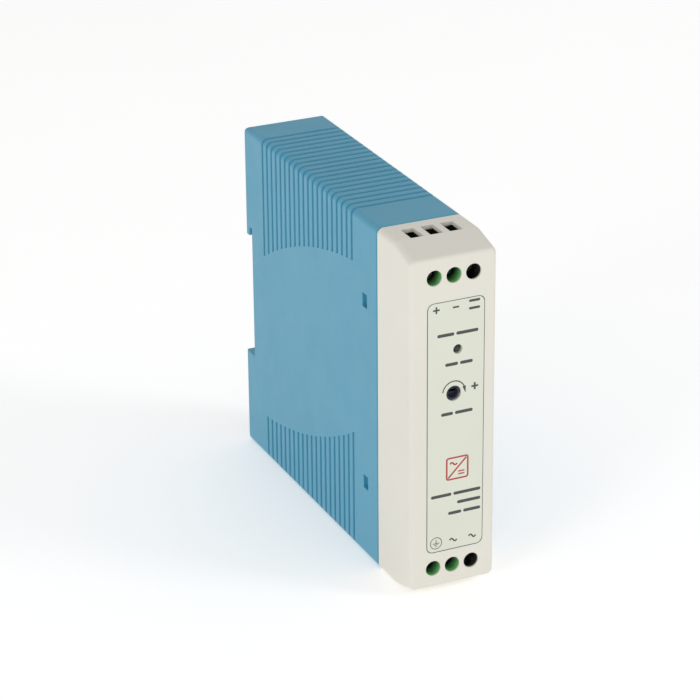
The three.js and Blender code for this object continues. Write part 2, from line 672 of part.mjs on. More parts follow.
// ---------------------------------------------------------------- parts on the main board
// ferrite frame in the YZ plane with a middle leg, and the winding wrapped round that leg
function woundCore(names, { x, y, z, halfY, halfZ, halfX, leg, windingX }, windingFinish) {
  const yoke = leg;
  const windowHalfZ = halfZ - yoke;
  const outerLeg = leg * 0.75;
  const [bottom, top] = [z - halfZ, z + halfZ];
  const frame = toManifold(box(x - halfX, x + halfX, y - halfY, y + halfY, bottom, top));
  const windows = [-1, 1].map((side) => box(x - halfX - 1, x + halfX + 1,
    y + side * (leg / 2), y + side * (halfY - outerLeg), z - windowHalfZ, z + windowHalfZ));
  addPart(names[0], cut(frame, windows), FERRITE);
  const gap = 0.3;
  const outerY = halfY - outerLeg - gap;
  const coil = toManifold(profileZ(roundedRectangle(x - windingX, x + windingX, y - outerY, y + outerY, 1.5),
    z - windowHalfZ + gap, z + windowHalfZ - gap));
  const wayHalf = leg / 2 + gap;
  const legWay = box(x - halfX - gap, x + halfX + gap, y - wayHalf, y + wayHalf, bottom, top);
  addPart(names[1], cut(coil, [legWay]), windingFinish);
}

// can with a rolled groove near one end, standing along +Y of its own frame
function capacitorCan(radius, length) {
  return turned([
    [0, 0],
    [radius - 0.4, 0],
    [radius, 0.4],
    [radius, 1.6],
    [radius - 0.5, 2.1],
    [radius, 2.6],
    [radius, length - 0.5],
    [radius - 0.5, length],
    [0, length],
  ]);
}

function discPart(name, y, z, radius, thickness, finish) {
  const x = BOARD_FACE - radius - 1;
  const disc = turned([
    [0, -thickness / 2],
    [radius - 0.8, -thickness / 2],
    [radius, -thickness / 2 + 0.8],
    [radius, thickness / 2 - 0.8],
    [radius - 0.8, thickness / 2],
    [0, thickness / 2],
  ]).translate(x, y, z);
  const legHalf = 0.3;
  const legs = [z - 2.2, z + 2.2].map((legZ) => (
    box(x, BOARD_FACE, y - legHalf, y + legHalf, legZ - legHalf, legZ + legHalf)
  ));
  addPart(name, fuse(disc, ...legs), finish);
}

function stepPart(name, height, y0, y1, z0, z1, finish) {
  addPart(name, box(BOARD_FACE - height, BOARD_FACE, y0, y1, z0, z1), finish);
}

// transistor or diode bolted to an upright heat spreader; side is the way it faces away from the plate
function powerDevice(names, plateY, plateZ, side) {
  const plateThickness = 1.5;
  const holeX = -5.4;
  const plateFace = plateZ + (side * plateThickness) / 2;
  const tabFace = plateFace + side * 1.3;
  const bodyFace = plateFace + side * 4.5;
  const plate = toManifold(box(-8.9, BOARD_FACE - 0.1, plateY - 10, plateY + 10,
    plateZ - plateThickness / 2, plateZ + plateThickness / 2));
  const bore = rodZ(holeX, plateY, 1.7, plateZ - 8, plateZ + 8, SMALL_ROUND);
  addPart(names[1], cut(plate, [bore]), ALUMINIUM);
  const tab = box(-8.4, -2.4, plateY - 5, plateY + 5, plateFace, tabFace);
  const body = box(-2.6, 5, plateY - 5, plateY + 5, plateFace, bodyFace);
  const legs = [-2.54, 0, 2.54].map((shift) => (
    box(4.8, BOARD_FACE, plateY + shift - 0.4, plateY + shift + 0.4,
      plateFace + side * 2.2, plateFace + side * 2.8)
  ));
  addPart(names[0], cut(fuse(tab, body, ...legs), [bore]), BLACK_PLASTIC);
  const headLength = 1.8;
  const shankEnd = plateZ - side * (plateThickness / 2 + 1.5);
  const headEnd = tabFace + side * headLength;
  const rodBetween = (radius, end) => (
    rodZ(holeX, plateY, radius, Math.min(tabFace, end), Math.max(tabFace, end), SMALL_ROUND)
  );
  const shank = rodBetween(1.4, shankEnd);
  const head = rodBetween(2.6, headEnd);
  addPart(names[2], fuse(shank, head), STEEL);
}

function buildInputSide() {
  const fuseX = BOARD_FACE - 2.4;
  const glass = rodY(fuseX, 8.5, 1.9, -28, -16, SMALL_ROUND);
  const ends = [[-29, -26.5], [-17.5, -15]].map(([y0, y1]) => rodY(fuseX, 8.5, 2.2, y0, y1, SMALL_ROUND));
  addPart('input_fuse', fuse(glass, ...ends), FUSE_BODY);
  discPart('varistor', -12, 9.5, 4.4, 3.6, CERAMIC_BLUE);
  discPart('inrush_thermistor', -26, 29, 4.4, 4, BLACK_PLASTIC);
  stepPart('x_capacitor', 12, -8, 5, 3.6, 9.8, FILM_BOX);
  woundCore(['choke_core', 'choke_winding'],
    { x: 0.4, y: -1, z: 19, halfY: 8, halfZ: 7.5, halfX: 2.4, leg: 4, windingX: 6.4 }, COPPER_WIRE);
  stepPart('bridge_rectifier', 3.4, -20.5, -12, 24, 30.5, BLACK_PLASTIC);
  const can = capacitorCan(8, 26).rotateX(Math.PI / 2).translate(-1.2, 33, 4.2);
  addPart('bulk_capacitor', can, CAPACITOR_SLEEVE);
}

function buildPowerStage() {
  powerDevice(['switch_transistor', 'primary_heatsink', 'primary_heatsink_screw'], 13.5, 33.4, -1);
  woundCore(['transformer_core', 'transformer_winding'],
    { x: -1, y: 13, z: 46.5, halfY: 11, halfZ: 10.5, halfX: 3.2, leg: 6, windingX: 7.6 }, TAPE_YELLOW);
  stepPart('control_ic', 3.5, -19, -9.5, 37, 43.4, BLACK_PLASTIC);
  stepPart('optocoupler', 3.6, -14.5, -10, 49, 55.5, BLACK_PLASTIC);
  discPart('y_capacitor', -4, 42, 3.6, 3, CERAMIC_BLUE);
}

function buildOutputSide() {
  powerDevice(['output_diode', 'secondary_heatsink', 'secondary_heatsink_screw'], 17, 59.8, 1);
  [[2, 78], [-11, 80]].forEach(([y, z], i) => {
    const can = capacitorCan(5, 15.6).rotateZ(Math.PI / 2).translate(BOARD_FACE - 0.3, y, z);
    addPart(`output_capacitor_${i + 1}`, can, CAPACITOR_SLEEVE);
  });
  const drum = turned([
    [0, 0],
    [4.6, 0],
    [4.6, 1.2],
    [3.9, 1.6],
    [3.9, 9.4],
    [4.6, 9.8],
    [4.6, 11],
    [0, 11],
  ]).rotateZ(Math.PI / 2).translate(BOARD_FACE - 0.1, -5, 62);
  addPart('output_inductor', drum, COPPER_WIRE);
}

// ---------------------------------------------------------------- rail latch and its spring
function buildLatch() {
  const stepZ = RECESS_BOTTOM - 0.4;
  const plate = box(-LATCH_WIDE_HALF, LATCH_WIDE_HALF, LATCH_FRONT, LATCH_STEP, LATCH_BOTTOM, stepZ);
  const spine = profileX([
    [LATCH_STEP - 0.5, LATCH_BOTTOM],
    [LATCH_REAR, LATCH_BOTTOM],
    [LATCH_REAR, LATCH_NOSE_TOP - 3],
    [GRIP_FRONT + 0.8, LATCH_NOSE_TOP],
    [GRIP_FRONT, LATCH_NOSE_TOP],
    [GRIP_FRONT, stepZ - 1],
    [LATCH_STEP - 0.5, stepZ - 1],
  ], -LATCH_NARROW_HALF, LATCH_NARROW_HALF);
  const pocket = box(-POCKET_HALF_WIDTH, POCKET_HALF_WIDTH, LATCH_FRONT - 1, POCKET_REAR,
    POCKET_BOTTOM, POCKET_TOP);
  const toolSlot = box(-2.4, 2.4, LATCH_FRONT - 1, LATCH_REAR + 1, 2.6, 4.2);
  addPart('rail_latch', cut(fuse(plate, spine), [pocket, toolSlot]), DARK_PLASTIC);
}

function buildSpring() {
  const wire = 0.22;
  const turns = 5;
  const [bottom, top] = [STOP_TOP + 0.05 + wire, POCKET_TOP - 0.05 - wire];
  const centreY = (LATCH_FRONT + POCKET_REAR) / 2 - 0.2;
  const radius = 1.1;
  class Coil extends THREE.Curve {
    getPoint(t) {
      const angle = 2 * Math.PI * turns * t;
      const height = bottom + (top - bottom) * t;
      return new THREE.Vector3(radius * Math.cos(angle), centreY + radius * Math.sin(angle), height);
    }
  }
  const section = new THREE.Shape(arc(0, 0, wire, 0, 288, 4).map(([u, v]) => new THREE.Vector2(u, v)));
  const settings = { steps: turns * 8, extrudePath: new Coil(), bevelEnabled: false };
  const spring = new THREE.ExtrudeGeometry(section, settings);
  addPart('latch_spring', spring, STEEL);
}

buildCase();
buildCap();
buildLabel();
buildTerminals();
buildLamp();
buildAdjuster();
buildBoards();
buildInputSide();
buildPowerStage();
buildOutputSide();
buildLatch();
buildSpring();

export default assembly;
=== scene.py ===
"""Studio scene of a DIN rail power supply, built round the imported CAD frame.

Sizes are in millimetres and are turned into metres where vertices are made. +X is to the right seen from the
front, +Y runs from the front to the rail, +Z is up.
"""

import json
import math

import bmesh
import bpy
from mathutils import Matrix, Vector


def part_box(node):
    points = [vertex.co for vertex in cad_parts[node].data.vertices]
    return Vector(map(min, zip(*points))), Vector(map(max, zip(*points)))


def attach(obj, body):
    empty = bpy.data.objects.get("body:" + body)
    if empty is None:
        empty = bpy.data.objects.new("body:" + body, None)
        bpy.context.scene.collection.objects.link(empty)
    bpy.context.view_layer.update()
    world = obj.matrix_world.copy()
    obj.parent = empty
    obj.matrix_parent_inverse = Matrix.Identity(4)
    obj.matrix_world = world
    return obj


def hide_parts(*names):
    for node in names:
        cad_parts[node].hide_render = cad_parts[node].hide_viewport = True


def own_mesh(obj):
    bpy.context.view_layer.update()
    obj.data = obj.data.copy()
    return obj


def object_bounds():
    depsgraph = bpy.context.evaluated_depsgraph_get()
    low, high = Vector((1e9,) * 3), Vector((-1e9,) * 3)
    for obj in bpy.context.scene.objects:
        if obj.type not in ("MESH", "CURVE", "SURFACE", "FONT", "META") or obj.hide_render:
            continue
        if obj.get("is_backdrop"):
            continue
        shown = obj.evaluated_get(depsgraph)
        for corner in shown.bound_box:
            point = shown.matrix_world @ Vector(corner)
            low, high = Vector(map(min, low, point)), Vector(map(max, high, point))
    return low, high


MM = 0.001

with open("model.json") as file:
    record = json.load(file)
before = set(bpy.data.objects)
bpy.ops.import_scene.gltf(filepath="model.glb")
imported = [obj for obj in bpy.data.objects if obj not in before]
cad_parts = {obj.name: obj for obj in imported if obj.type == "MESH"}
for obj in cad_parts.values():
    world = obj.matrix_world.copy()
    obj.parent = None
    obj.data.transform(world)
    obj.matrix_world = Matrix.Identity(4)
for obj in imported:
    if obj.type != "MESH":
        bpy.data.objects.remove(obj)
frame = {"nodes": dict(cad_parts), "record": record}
cad_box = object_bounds()


def node_box(name):
    """Lowest and highest corner of a CAD node, in millimetres."""
    low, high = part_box(name)
    return [v / MM for v in low], [v / MM for v in high]


def node_centre(name):
    low, high = node_box(name)
    return [(a + b) / 2 for a, b in zip(low, high)]


# ---------------------------------------------------------------- sizes from the frame
SHELL_LOW, SHELL_HIGH = node_box("housing_shell")
CAP_LOW, _ = node_box("front_cap")
LABEL_LOW, LABEL_HIGH = node_box("front_label")
HALF_WIDTH = SHELL_HIGH[0]
HEIGHT = SHELL_HIGH[2]
SEAM = SHELL_LOW[1]
REAR = SHELL_HIGH[1]
FRONT = CAP_LOW[1]
POLES = [node_centre(f"terminal_screw_{n}")[0] for n in (1, 2, 3)]
SCREW_INSET = node_centre("terminal_screw_4")[2]
LAMP_X, _, LAMP_Z = node_centre("light_pipe")
ADJUST_X, _, ADJUST_Z = node_centre("trimmer_rotor")

# ---------------------------------------------------------------- sizes shared with the CAD source
SEAM_GAP = 0.3
CAP_REAR = SEAM - SEAM_GAP
EDGE_RADIUS = 1.6
WALL = 1.6
INNER_X = HALF_WIDTH - WALL

RAIL_SEAT = 45
RECESS_LOW = 26.6
RECESS_HIGH = 62.6
GRIP_FRONT = 46.4
UPPER_REAR = REAR - 1.6
HOOK_LENGTH = 2.4

GROOVE_COUNT = 20
GROOVE_FIRST_Y = 36.6
GROOVE_PITCH = 2.853
ARC_RADIUS = 142
ARC_CENTRE_Y = -35.6
ARC_CENTRE_Z = -64.1
PLAIN_BAND_Y = 9.65
PLAIN_BAND_Z = 44.5

POCKET_HEIGHTS = (68.9, 20.4)
POCKET_FRONT = -26.1
POCKET_REAR = -23.5
POCKET_HALF_HEIGHT = 1.75
POCKET_FLOOR = 0.55

CHAMFER_START = -41
CHAMFER_DROP = 2.3
FRONT_EDGE_RADIUS = 1.2
LABEL_THICKNESS = 0.2
LABEL_RADIUS = 1.3
CAP_WALL = 1.5
CAP_SIDE_WALL = 1.4
CAP_FRONT_WALL = 1.6
SCREW_HOLE_RADIUS = 1.95
SCREW_WALL = 0.5
BOSS_HALF_HEIGHT = 3.1
BOSS_RIGHT = 2.55
BLOCK_HALF_WIDTH = 7.95
LAMP_HOLE_RADIUS = 1.2
ADJUST_HOLE_RADIUS = 1.95
ENTRY_FRONT = -41
ENTRY_REAR = -35.2
ENTRY_HALF_WIDTH = 1.65
ENTRY_WALL = 1.05
MOUTH_HALF_WIDTH = 1.9
MOUTH_DEPTH_INSET = 4.5

BLOCK_FRONT = -48.1
BLOCK_INSET = 1.8
BLOCK_DEPTH_INSET = 13.2
WELL_RADIUS = 2
WELL_FLOOR = -44
SHANK_HOLE_RADIUS = 1.45
CHAMBER_FRONT = -43.2
CHAMBER_REAR = -36.2
CHAMBER_HALF_WIDTH = 2.2
CHAMBER_END_INSET = 12.2
SCREW_HEAD_LENGTH = 1.7
SCREW_SHANK_RADIUS = 1.2

CHANNEL_FLOOR = 45.4
CHANNEL_STEP = 47.4
CHANNEL_WIDE_HALF = 6.7
CHANNEL_NARROW_HALF = 4.7

# ---------------------------------------------------------------- sizes of the label's fit and print
LABEL_MARGIN = 0.08
INK_THICKNESS = 0.02
INK_SUNK = 0.005

# groove cross-section: distance from its middle, and depth there
GROOVE_PROFILE = [(0, 0.8), (0.25, 0.77), (0.37, 0.6), (0.43, 0.3), (0.49, 0.06), (0.6, 0)]
# how a groove runs out at its end: distance into the groove, and share of its full depth
GROOVE_END = [(-0.2, 0), (0, 0), (0.1, 0.6), (0.25, 0.9), (0.5, 1)]


# ---------------------------------------------------------------- mesh helpers
def new_object(name, vertices, faces):
    """Mesh object from points in millimetres, with every face turned outwards."""
    mesh = bpy.data.meshes.new(name)
    mesh.from_pydata([Vector(v) * MM for v in vertices], [], faces)
    work = bmesh.new()
    work.from_mesh(mesh)
    bmesh.ops.recalc_face_normals(work, faces=work.faces)
    work.to_mesh(mesh)
    work.free()
    obj = bpy.data.objects.new(name, mesh)
    bpy.context.collection.objects.link(obj)
    return obj


def loft(name, rings):
    """Solid through rings of equally many points, closed at both ends."""
    count = len(rings[0])
    faces = []
    for i in range(len(rings) - 1):
        near, far = i * count, (i + 1) * count
        for j in range(count):
            k = (j + 1) % count
            faces.append((near + j, near + k, far + k, far + j))
    last = (len(rings) - 1) * count
    faces.append(tuple(range(count)))
    faces.append(tuple(range(last, last + count)))
    return new_object(name, [p for ring in rings for p in ring], faces)


def arc(u, v, radius, start, end, steps=6):
    """Points round a centre, angles in degrees."""
    angles = [math.radians(start + (end - start) * i / steps) for i in range(steps + 1)]
    return [(u + radius * math.cos(a), v + radius * math.sin(a)) for a in angles]


def rounded_rectangle(u0, u1, v0, v1, radius, steps=6):
    return (
        arc(u1 - radius, v0 + radius, radius, -90, 0, steps)
        + arc(u1 - radius, v1 - radius, radius, 0, 90, steps)
        + arc(u0 + radius, v1 - radius, radius, 90, 180, steps)
        + arc(u0 + radius, v0 + radius, radius, 180, 270, steps)
    )


def circle(u, v, radius, sides=48):
    return arc(u, v, radius, 0, 360 - 360 / sides, sides - 1)


def offset(outline, distance):
    """The closed outline moved outwards; its points run counter-clockwise."""
    moved = []
    for i, (u, v) in enumerate(outline):
        before = Vector(outline[i - 1])
        after = Vector(outline[(i + 1) % len(outline)])
        arriving = (Vector((u, v)) - before).normalized()
        leaving = (after - Vector((u, v))).normalized()
        normals = [Vector((d.y, -d.x)) for d in (arriving, leaving)]
        total = normals[0] + normals[1]
        shift = total * (distance / max(0.4, 1 + normals[0].dot(normals[1])))
        moved.append((u + shift.x, v + shift.y))
    return moved


def place(axis, point, along):
    """(u, v) of an outline and the distance along its axis, as x, y, z."""
    u, v = point
    return {"X": (along, u, v), "Y": (u, along, v), "Z": (u, v, along)}[axis]


def stations(name, axis, sections):
    """Solid through (distance along the axis, outline) sections."""
    return loft(name, [[place(axis, p, along) for p in outline] for along, outline in sections])


def prism(name, axis, outline, start, end):
    return stations(name, axis, [(start, outline), (end, outline)])


def block(name, x0, x1, y0, y1, z0, z1):
    return prism(name, "Z", [(x0, y0), (x1, y0), (x1, y1), (x0, y1)], z0, z1)


def edge_round(radius, steps=4):
    """(distance from the face, inset) pairs round an outer edge, from the side to the face."""
    angles = [math.radians(90 * i / steps) for i in range(steps + 1)]
    return [(radius * (1 - math.sin(a)), radius * (1 - math.cos(a))) for a in angles]


def turned_y(name, x, z, profile, sides=48):
    """Round piece along Y from (y, radius) points."""
    return stations(name, "Y", [(y, circle(x, z, radius, sides)) for y, radius in profile])


def joined(name, objects):
    """One object from several, without cutting or merging them."""
    work = bmesh.new()
    for obj in objects:
        work.from_mesh(obj.data)
    mesh = bpy.data.meshes.new(name)
    work.to_mesh(mesh)
    work.free()
    for obj in objects:
        bpy.data.objects.remove(obj)
    result = bpy.data.objects.new(name, mesh)
    bpy.context.collection.objects.link(result)
    return result


def combine(body, other, operation):
    """Applies one exact boolean and deletes the other object."""
    step = body.modifiers.new("boolean", "BOOLEAN")
    step.operation = operation
    step.solver = "EXACT"
    step.object = other
    evaluated = body.evaluated_get(bpy.context.evaluated_depsgraph_get())
    mesh = bpy.data.meshes.new_from_object(evaluated)
    body.modifiers.remove(step)
    body.data = mesh
    bpy.data.objects.remove(other)
    return body


def cut(body, *cutters):
    for cutter in cutters:
        combine(body, cutter, "DIFFERENCE")
    return body


def fuse(body, *others):
    for other in others:
        combine(body, other, "UNION")
    return body


def shade(obj, sharp_angle=38):
    """Smooth shading that keeps hard edges, with flat faces kept flat."""
    work = bmesh.new()
    work.from_mesh(obj.data)
    limit = math.radians(sharp_angle)
    for face in work.faces:
        face.smooth = True
    for edge in work.edges:
        edge.smooth = edge.is_manifold and edge.calc_face_angle(0) < limit
    work.to_mesh(obj.data)
    work.free()
    normals = obj.modifiers.new("flat_faces", "WEIGHTED_NORMAL")
    normals.keep_sharp = True


def soften(obj, width, segments=2):
    """Small rounding on every hard edge."""
    bevel = obj.modifiers.new("soft_edges", "BEVEL")
    bevel.width = width * MM
    bevel.segments = segments
    bevel.limit_method = "ANGLE"
    bevel.angle_limit = math.radians(40)
    bevel.harden_normals = True


def finish_piece(obj, material, slot, body, *nodes):
    """Gives a piece its material and its body, and hides the CAD nodes that it stands for. The slot is not
    used.
    """
    obj.data.materials.clear()
    obj.data.materials.append(material)
    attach(obj, body)
    if nodes:
        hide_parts(*nodes)
    return obj


# ---------------------------------------------------------------- materials
def linear(red, green, blue):
    """Colour from 0 to 255 display values to the renderer's linear values."""
    values = []
    for v in (red, green, blue):
        share = v / 255
        values.append(share / 12.92 if share <= 0.04045 else ((share + 0.055) / 1.055) ** 2.4)
    return (*values, 1)


class Surface:
    """A principled material, with helpers for the nodes that feed it."""

    def __init__(self, name, color, roughness, metallic=0, coat=0, coat_roughness=0.1):
        self.material = bpy.data.materials.new(name)
        self.material.use_nodes = True
        self.tree = self.material.node_tree
        self.shader = self.tree.nodes["Principled BSDF"]
        self.shader.inputs["Base Color"].default_value = color
        self.shader.inputs["Roughness"].default_value = roughness
        self.shader.inputs["Metallic"].default_value = metallic
        self.shader.inputs["Coat Weight"].default_value = coat
        self.shader.inputs["Coat Roughness"].default_value = coat_roughness
        self.color = color
        self.roughness = roughness
        self.coordinates = self.tree.nodes.new("ShaderNodeTexCoord")
        self.bump = None

    def link(self, output, target):
        self.tree.links.new(output, target)

    def stretched(self, stretch):
        """Object coordinates scaled along each axis."""
        mapping = self.tree.nodes.new("ShaderNodeMapping")
        mapping.inputs["Scale"].default_value = stretch
        self.link(self.coordinates.outputs["Object"], mapping.inputs["Vector"])
        return mapping.outputs["Vector"]

    def noise(self, size, detail=3, stretch=(1, 1, 1)):
        """Noise whose features are about size millimetres across."""
        node = self.tree.nodes.new("ShaderNodeTexNoise")
        node.inputs["Scale"].default_value = 1 / (size * MM)
        node.inputs["Detail"].default_value = detail
        self.link(self.stretched(stretch), node.inputs["Vector"])
        return node.outputs["Fac"]

    def wave(self, size, direction, distortion=0):
        """Parallel lines size millimetres apart."""
        node = self.tree.nodes.new("ShaderNodeTexWave")
        node.bands_direction = direction
        node.inputs["Scale"].default_value = 2 * math.pi / (20 * size * MM)
        node.inputs["Distortion"].default_value = distortion
        self.link(self.coordinates.outputs["Object"], node.inputs["Vector"])
        return node.outputs["Fac"]

    def cells(self, size):
        """Cells about size millimetres across, as a distance from each centre."""
        node = self.tree.nodes.new("ShaderNodeTexVoronoi")
        node.inputs["Scale"].default_value = 1 / (size * MM)
        self.link(self.coordinates.outputs["Object"], node.inputs["Vector"])
        return node.outputs["Distance"]

    def ramp(self, value, stops):
        """Colour ramp through (position, colour) stops."""
        node = self.tree.nodes.new("ShaderNodeValToRGB")
        elements = node.color_ramp.elements
        elements[0].position, elements[0].color = stops[0]
        elements[1].position, elements[1].color = stops[-1]
        for position, color in stops[1:-1]:
            elements.new(position).color = color
        self.link(value, node.inputs["Fac"])
        return node.outputs["Color"]

    def tinted(self, value, spread):
        """Base colour that varies with a value by the given share either way."""
        dark = tuple(c * (1 - spread) for c in self.color[:3]) + (1,)
        light = tuple(min(1, c * (1 + spread)) for c in self.color[:3]) + (1,)
        self.link(self.ramp(value, [(0.3, dark), (0.7, light)]), self.shader.inputs["Base Color"])

    def worn(self, value, spread):
        """Roughness that varies with a value by the given amount either way."""
        node = self.tree.nodes.new("ShaderNodeMapRange")
        node.inputs["From Min"].default_value = 0.3
        node.inputs["From Max"].default_value = 0.7
        node.inputs["To Min"].default_value = self.roughness - spread
        node.inputs["To Max"].default_value = self.roughness + spread
        self.link(value, node.inputs["Value"])
        self.link(node.outputs["Result"], self.shader.inputs["Roughness"])

    def along(self, axis):
        """Object coordinate along one axis."""
        node = self.tree.nodes.new("ShaderNodeSeparateXYZ")
        self.link(self.coordinates.outputs["Object"], node.inputs["Vector"])
        return node.outputs[axis]

    def mixed(self, share, color, other_color):
        """Base colour that goes from a colour output to a plain colour by a share."""
        node = self.tree.nodes.new("ShaderNodeMix")
        node.data_type = "RGBA"
        self.link(share, node.inputs["Factor"])
        self.link(color, node.inputs["A"])
        node.inputs["B"].default_value = other_color
        self.link(node.outputs["Result"], self.shader.inputs["Base Color"])

    def painted_depth_shade(self, axis, start, end, shade_color):
        """Painted shade: blends the base colour into a darker one between two places along an axis, in
        millimetres.
        """
        share = self.tree.nodes.new("ShaderNodeMapRange")
        share.inputs["From Min"].default_value = start * MM
        share.inputs["From Max"].default_value = end * MM
        self.link(self.along(axis), share.inputs["Value"])
        base = self.shader.inputs["Base Color"].links[0].from_socket
        self.mixed(share.outputs["Result"], base, shade_color)

    def relief(self, value, depth):
        """Bump of the given depth in millimetres, added to any that is there already."""
        node = self.tree.nodes.new("ShaderNodeBump")
        node.inputs["Distance"].default_value = depth * MM
        self.link(value, node.inputs["Height"])
        if self.bump:
            self.link(self.bump.outputs["Normal"], node.inputs["Normal"])
        self.link(node.outputs["Normal"], self.shader.inputs["Normal"])
        self.bump = node


def moulded(name, color, roughness, grain=0.16, depth=0.012, spread=0.02):
    """Moulded plastic: fine sparked grain, a slow drift of colour, and patches of slightly duller skin."""
    surface = Surface(name, color, roughness)
    surface.tinted(surface.noise(18, 2), spread)
    surface.worn(surface.noise(7, 3), 0.04)
    surface.relief(surface.noise(14, 1), 0.05)
    surface.relief(surface.noise(grain, 2), depth)
    return surface.material


def terminal_plastic():
    """Green moulding. Its colour deepens with depth, which is painted shade: it stands in for the shade
    inside the screw wells and in the clamp chambers below the wire entries.
    """
    surface = Surface("terminal_plastic", linear(112, 196, 112), 0.34)
    surface.tinted(surface.noise(4, 3), 0.03)
    # painted shade: the green darkens from 1.2 mm to 4.2 mm behind the front face
    surface.painted_depth_shade("Y", FRONT + 1.2, FRONT + 4.2, linear(20, 44, 34))
    surface.worn(surface.noise(3, 3), 0.04)
    surface.relief(surface.noise(0.3, 2), 0.006)
    return surface.material


def label_film():
    surface = Surface("label_film", linear(216, 219, 204), 0.36)
    surface.tinted(surface.noise(9, 3), 0.012)
    surface.worn(surface.noise(1.2, 3), 0.03)
    surface.relief(surface.noise(5, 2), 0.012)
    surface.relief(surface.noise(0.22, 2), 0.003)
    return surface.material


def ink(name, color):
    surface = Surface(name, color, 0.45)
    surface.tinted(surface.noise(0.35, 3), 0.12)
    surface.worn(surface.noise(0.5, 2), 0.05)
    surface.relief(surface.noise(0.12, 2), 0.004)
    return surface.material


def lens():
    surface = Surface("lamp_lens", linear(14, 36, 38), 0.12, coat=0.25, coat_roughness=0.05)
    surface.tinted(surface.noise(0.9, 2), 0.25)
    surface.relief(surface.noise(1.5, 1), 0.01)
    return surface.material


def plated(name, color, roughness, direction=(1, 1, 1)):
    """Plated metal with fine drawn lines and dull patches."""
    surface = Surface(name, color, roughness, metallic=1)
    surface.tinted(surface.noise(1.6, 4), 0.08)
    surface.worn(surface.noise(0.5, 3), 0.08)
    surface.relief(surface.noise(0.18, 3, direction), 0.004)
    return surface.material


def laminate():
    """Solder mask over traces, with bare pads."""
    surface = Surface("board_laminate", linear(38, 98, 58), 0.35)
    mask, raised, pad = linear(30, 84, 48), linear(52, 118, 70), linear(176, 176, 170)
    lines = surface.wave(2.4, "DIAGONAL", 6)
    traces = surface.ramp(lines, [(0.44, mask), (0.5, raised), (0.56, mask)])
    pads = surface.ramp(surface.cells(2.54), [(0.12, (1, 1, 1, 1)), (0.16, (0, 0, 0, 1))])
    surface.mixed(pads, traces, pad)
    surface.relief(lines, 0.03)
    surface.relief(surface.noise(0.3, 3), 0.008)
    return surface.material


def wound(name, color, pitch, roughness, metallic=0.0):
    """Turns of wire or tape laid side by side."""
    surface = Surface(name, color, roughness, metallic=metallic, coat=0.4)
    turns = surface.wave(pitch, "Z", 0.4)
    surface.tinted(turns, 0.3)
    surface.relief(turns, pitch * 0.25)
    surface.relief(surface.noise(0.4, 2), 0.01)
    return surface.material


def sintered(name, color):
    """Pressed ceramic: coarse grain."""
    surface = Surface(name, color, 0.7)
    surface.tinted(surface.noise(0.6, 4), 0.2)
    surface.worn(surface.noise(0.4, 2), 0.1)
    surface.relief(surface.noise(0.25, 4), 0.02)
    return surface.material


def dipped(name, color):
    """Glossy dipped resin with a faint orange peel."""
    surface = Surface(name, color, 0.22, coat=0.5)
    surface.tinted(surface.noise(2.5, 2), 0.1)
    surface.relief(surface.noise(1.1, 2), 0.03)
    return surface.material


def sleeve():
    """Shrink sleeve with a pale stripe down one side."""
    dark, stripe = linear(34, 38, 46), linear(150, 154, 156)
    span_x = 24
    surface = Surface("capacitor_sleeve", dark, 0.3)
    scaled = surface.tree.nodes.new("ShaderNodeMath")
    scaled.operation = "MULTIPLY_ADD"
    scaled.inputs[1].default_value = 1 / (span_x * MM)
    scaled.inputs[2].default_value = 0.5
    surface.link(surface.along("X"), scaled.inputs[0])
    color = surface.ramp(scaled.outputs["Value"], [(0.2, stripe), (0.22, dark)])
    surface.link(color, surface.shader.inputs["Base Color"])
    surface.relief(surface.noise(2, 2), 0.03)
    return surface.material


CASE = moulded("case_plastic", linear(76, 152, 180), 0.42)
CAP = moulded("cap_plastic", linear(222, 219, 208), 0.44, grain=0.2, depth=0.008, spread=0.012)
LABEL = label_film()
PRINT = ink("print_dark", linear(66, 70, 70))
ACCENT = ink("print_accent", linear(176, 66, 60))
ADJUSTER = moulded("adjuster_plastic", linear(50, 56, 72), 0.5, grain=0.12, depth=0.008, spread=0.05)
TERMINAL = terminal_plastic()
LENS = lens()
BLACK = moulded("black_plastic", linear(30, 31, 33), 0.38, grain=0.12, depth=0.008, spread=0.08)
LATCH = moulded("latch_plastic", linear(48, 50, 54), 0.42, spread=0.05)
STEEL = plated("plated_steel", linear(198, 200, 196), 0.3)
SPRING = plated("spring_steel", linear(180, 182, 184), 0.22)
BRASS = plated("tinned_brass", linear(206, 198, 170), 0.3)
ALUMINIUM = plated("heat_spreader", linear(196, 198, 200), 0.38, direction=(8, 1, 1))

SLOT_MATERIALS = {
    "case_plastic": CASE,
    "cap_plastic": CAP,
    "label_film": LABEL,
    "terminal_plastic": TERMINAL,
    "lamp_lens": LENS,
    "black_plastic": BLACK,
    "latch_plastic": LATCH,
    "board_laminate": laminate(),
    "clear_film": moulded("clear_film", linear(226, 222, 206), 0.3, grain=0.5, depth=0.004),
    "fuse_glass": dipped("fuse_glass", linear(208, 200, 182)),
    "dark_ceramic": sintered("dark_ceramic", linear(52, 56, 52)),
    "blue_epoxy": dipped("blue_epoxy", linear(44, 92, 160)),
    "film_box": moulded("film_box", linear(214, 164, 52), 0.4, grain=0.3, depth=0.02),
    "ferrite": sintered("ferrite", linear(60, 60, 62)),
    "copper_wire": wound("copper_wire", linear(186, 98, 50), 0.5, 0.3, metallic=0.7),
    "winding_tape": wound("winding_tape", linear(214, 178, 50), 3.4, 0.35),
    "capacitor_sleeve": sleeve(),
    "heat_spreader": ALUMINIUM,
    "plated_steel": STEEL,
    "spring_steel": SPRING,
    "tinned_brass": BRASS,
}


# ---------------------------------------------------------------- case
def upper_end(y):
    return ARC_CENTRE_Z + math.sqrt(ARC_RADIUS**2 - (y - ARC_CENTRE_Y) ** 2)


def lower_end(y):
    return 2 * PLAIN_BAND_Z - upper_end(2 * PLAIN_BAND_Y - y)


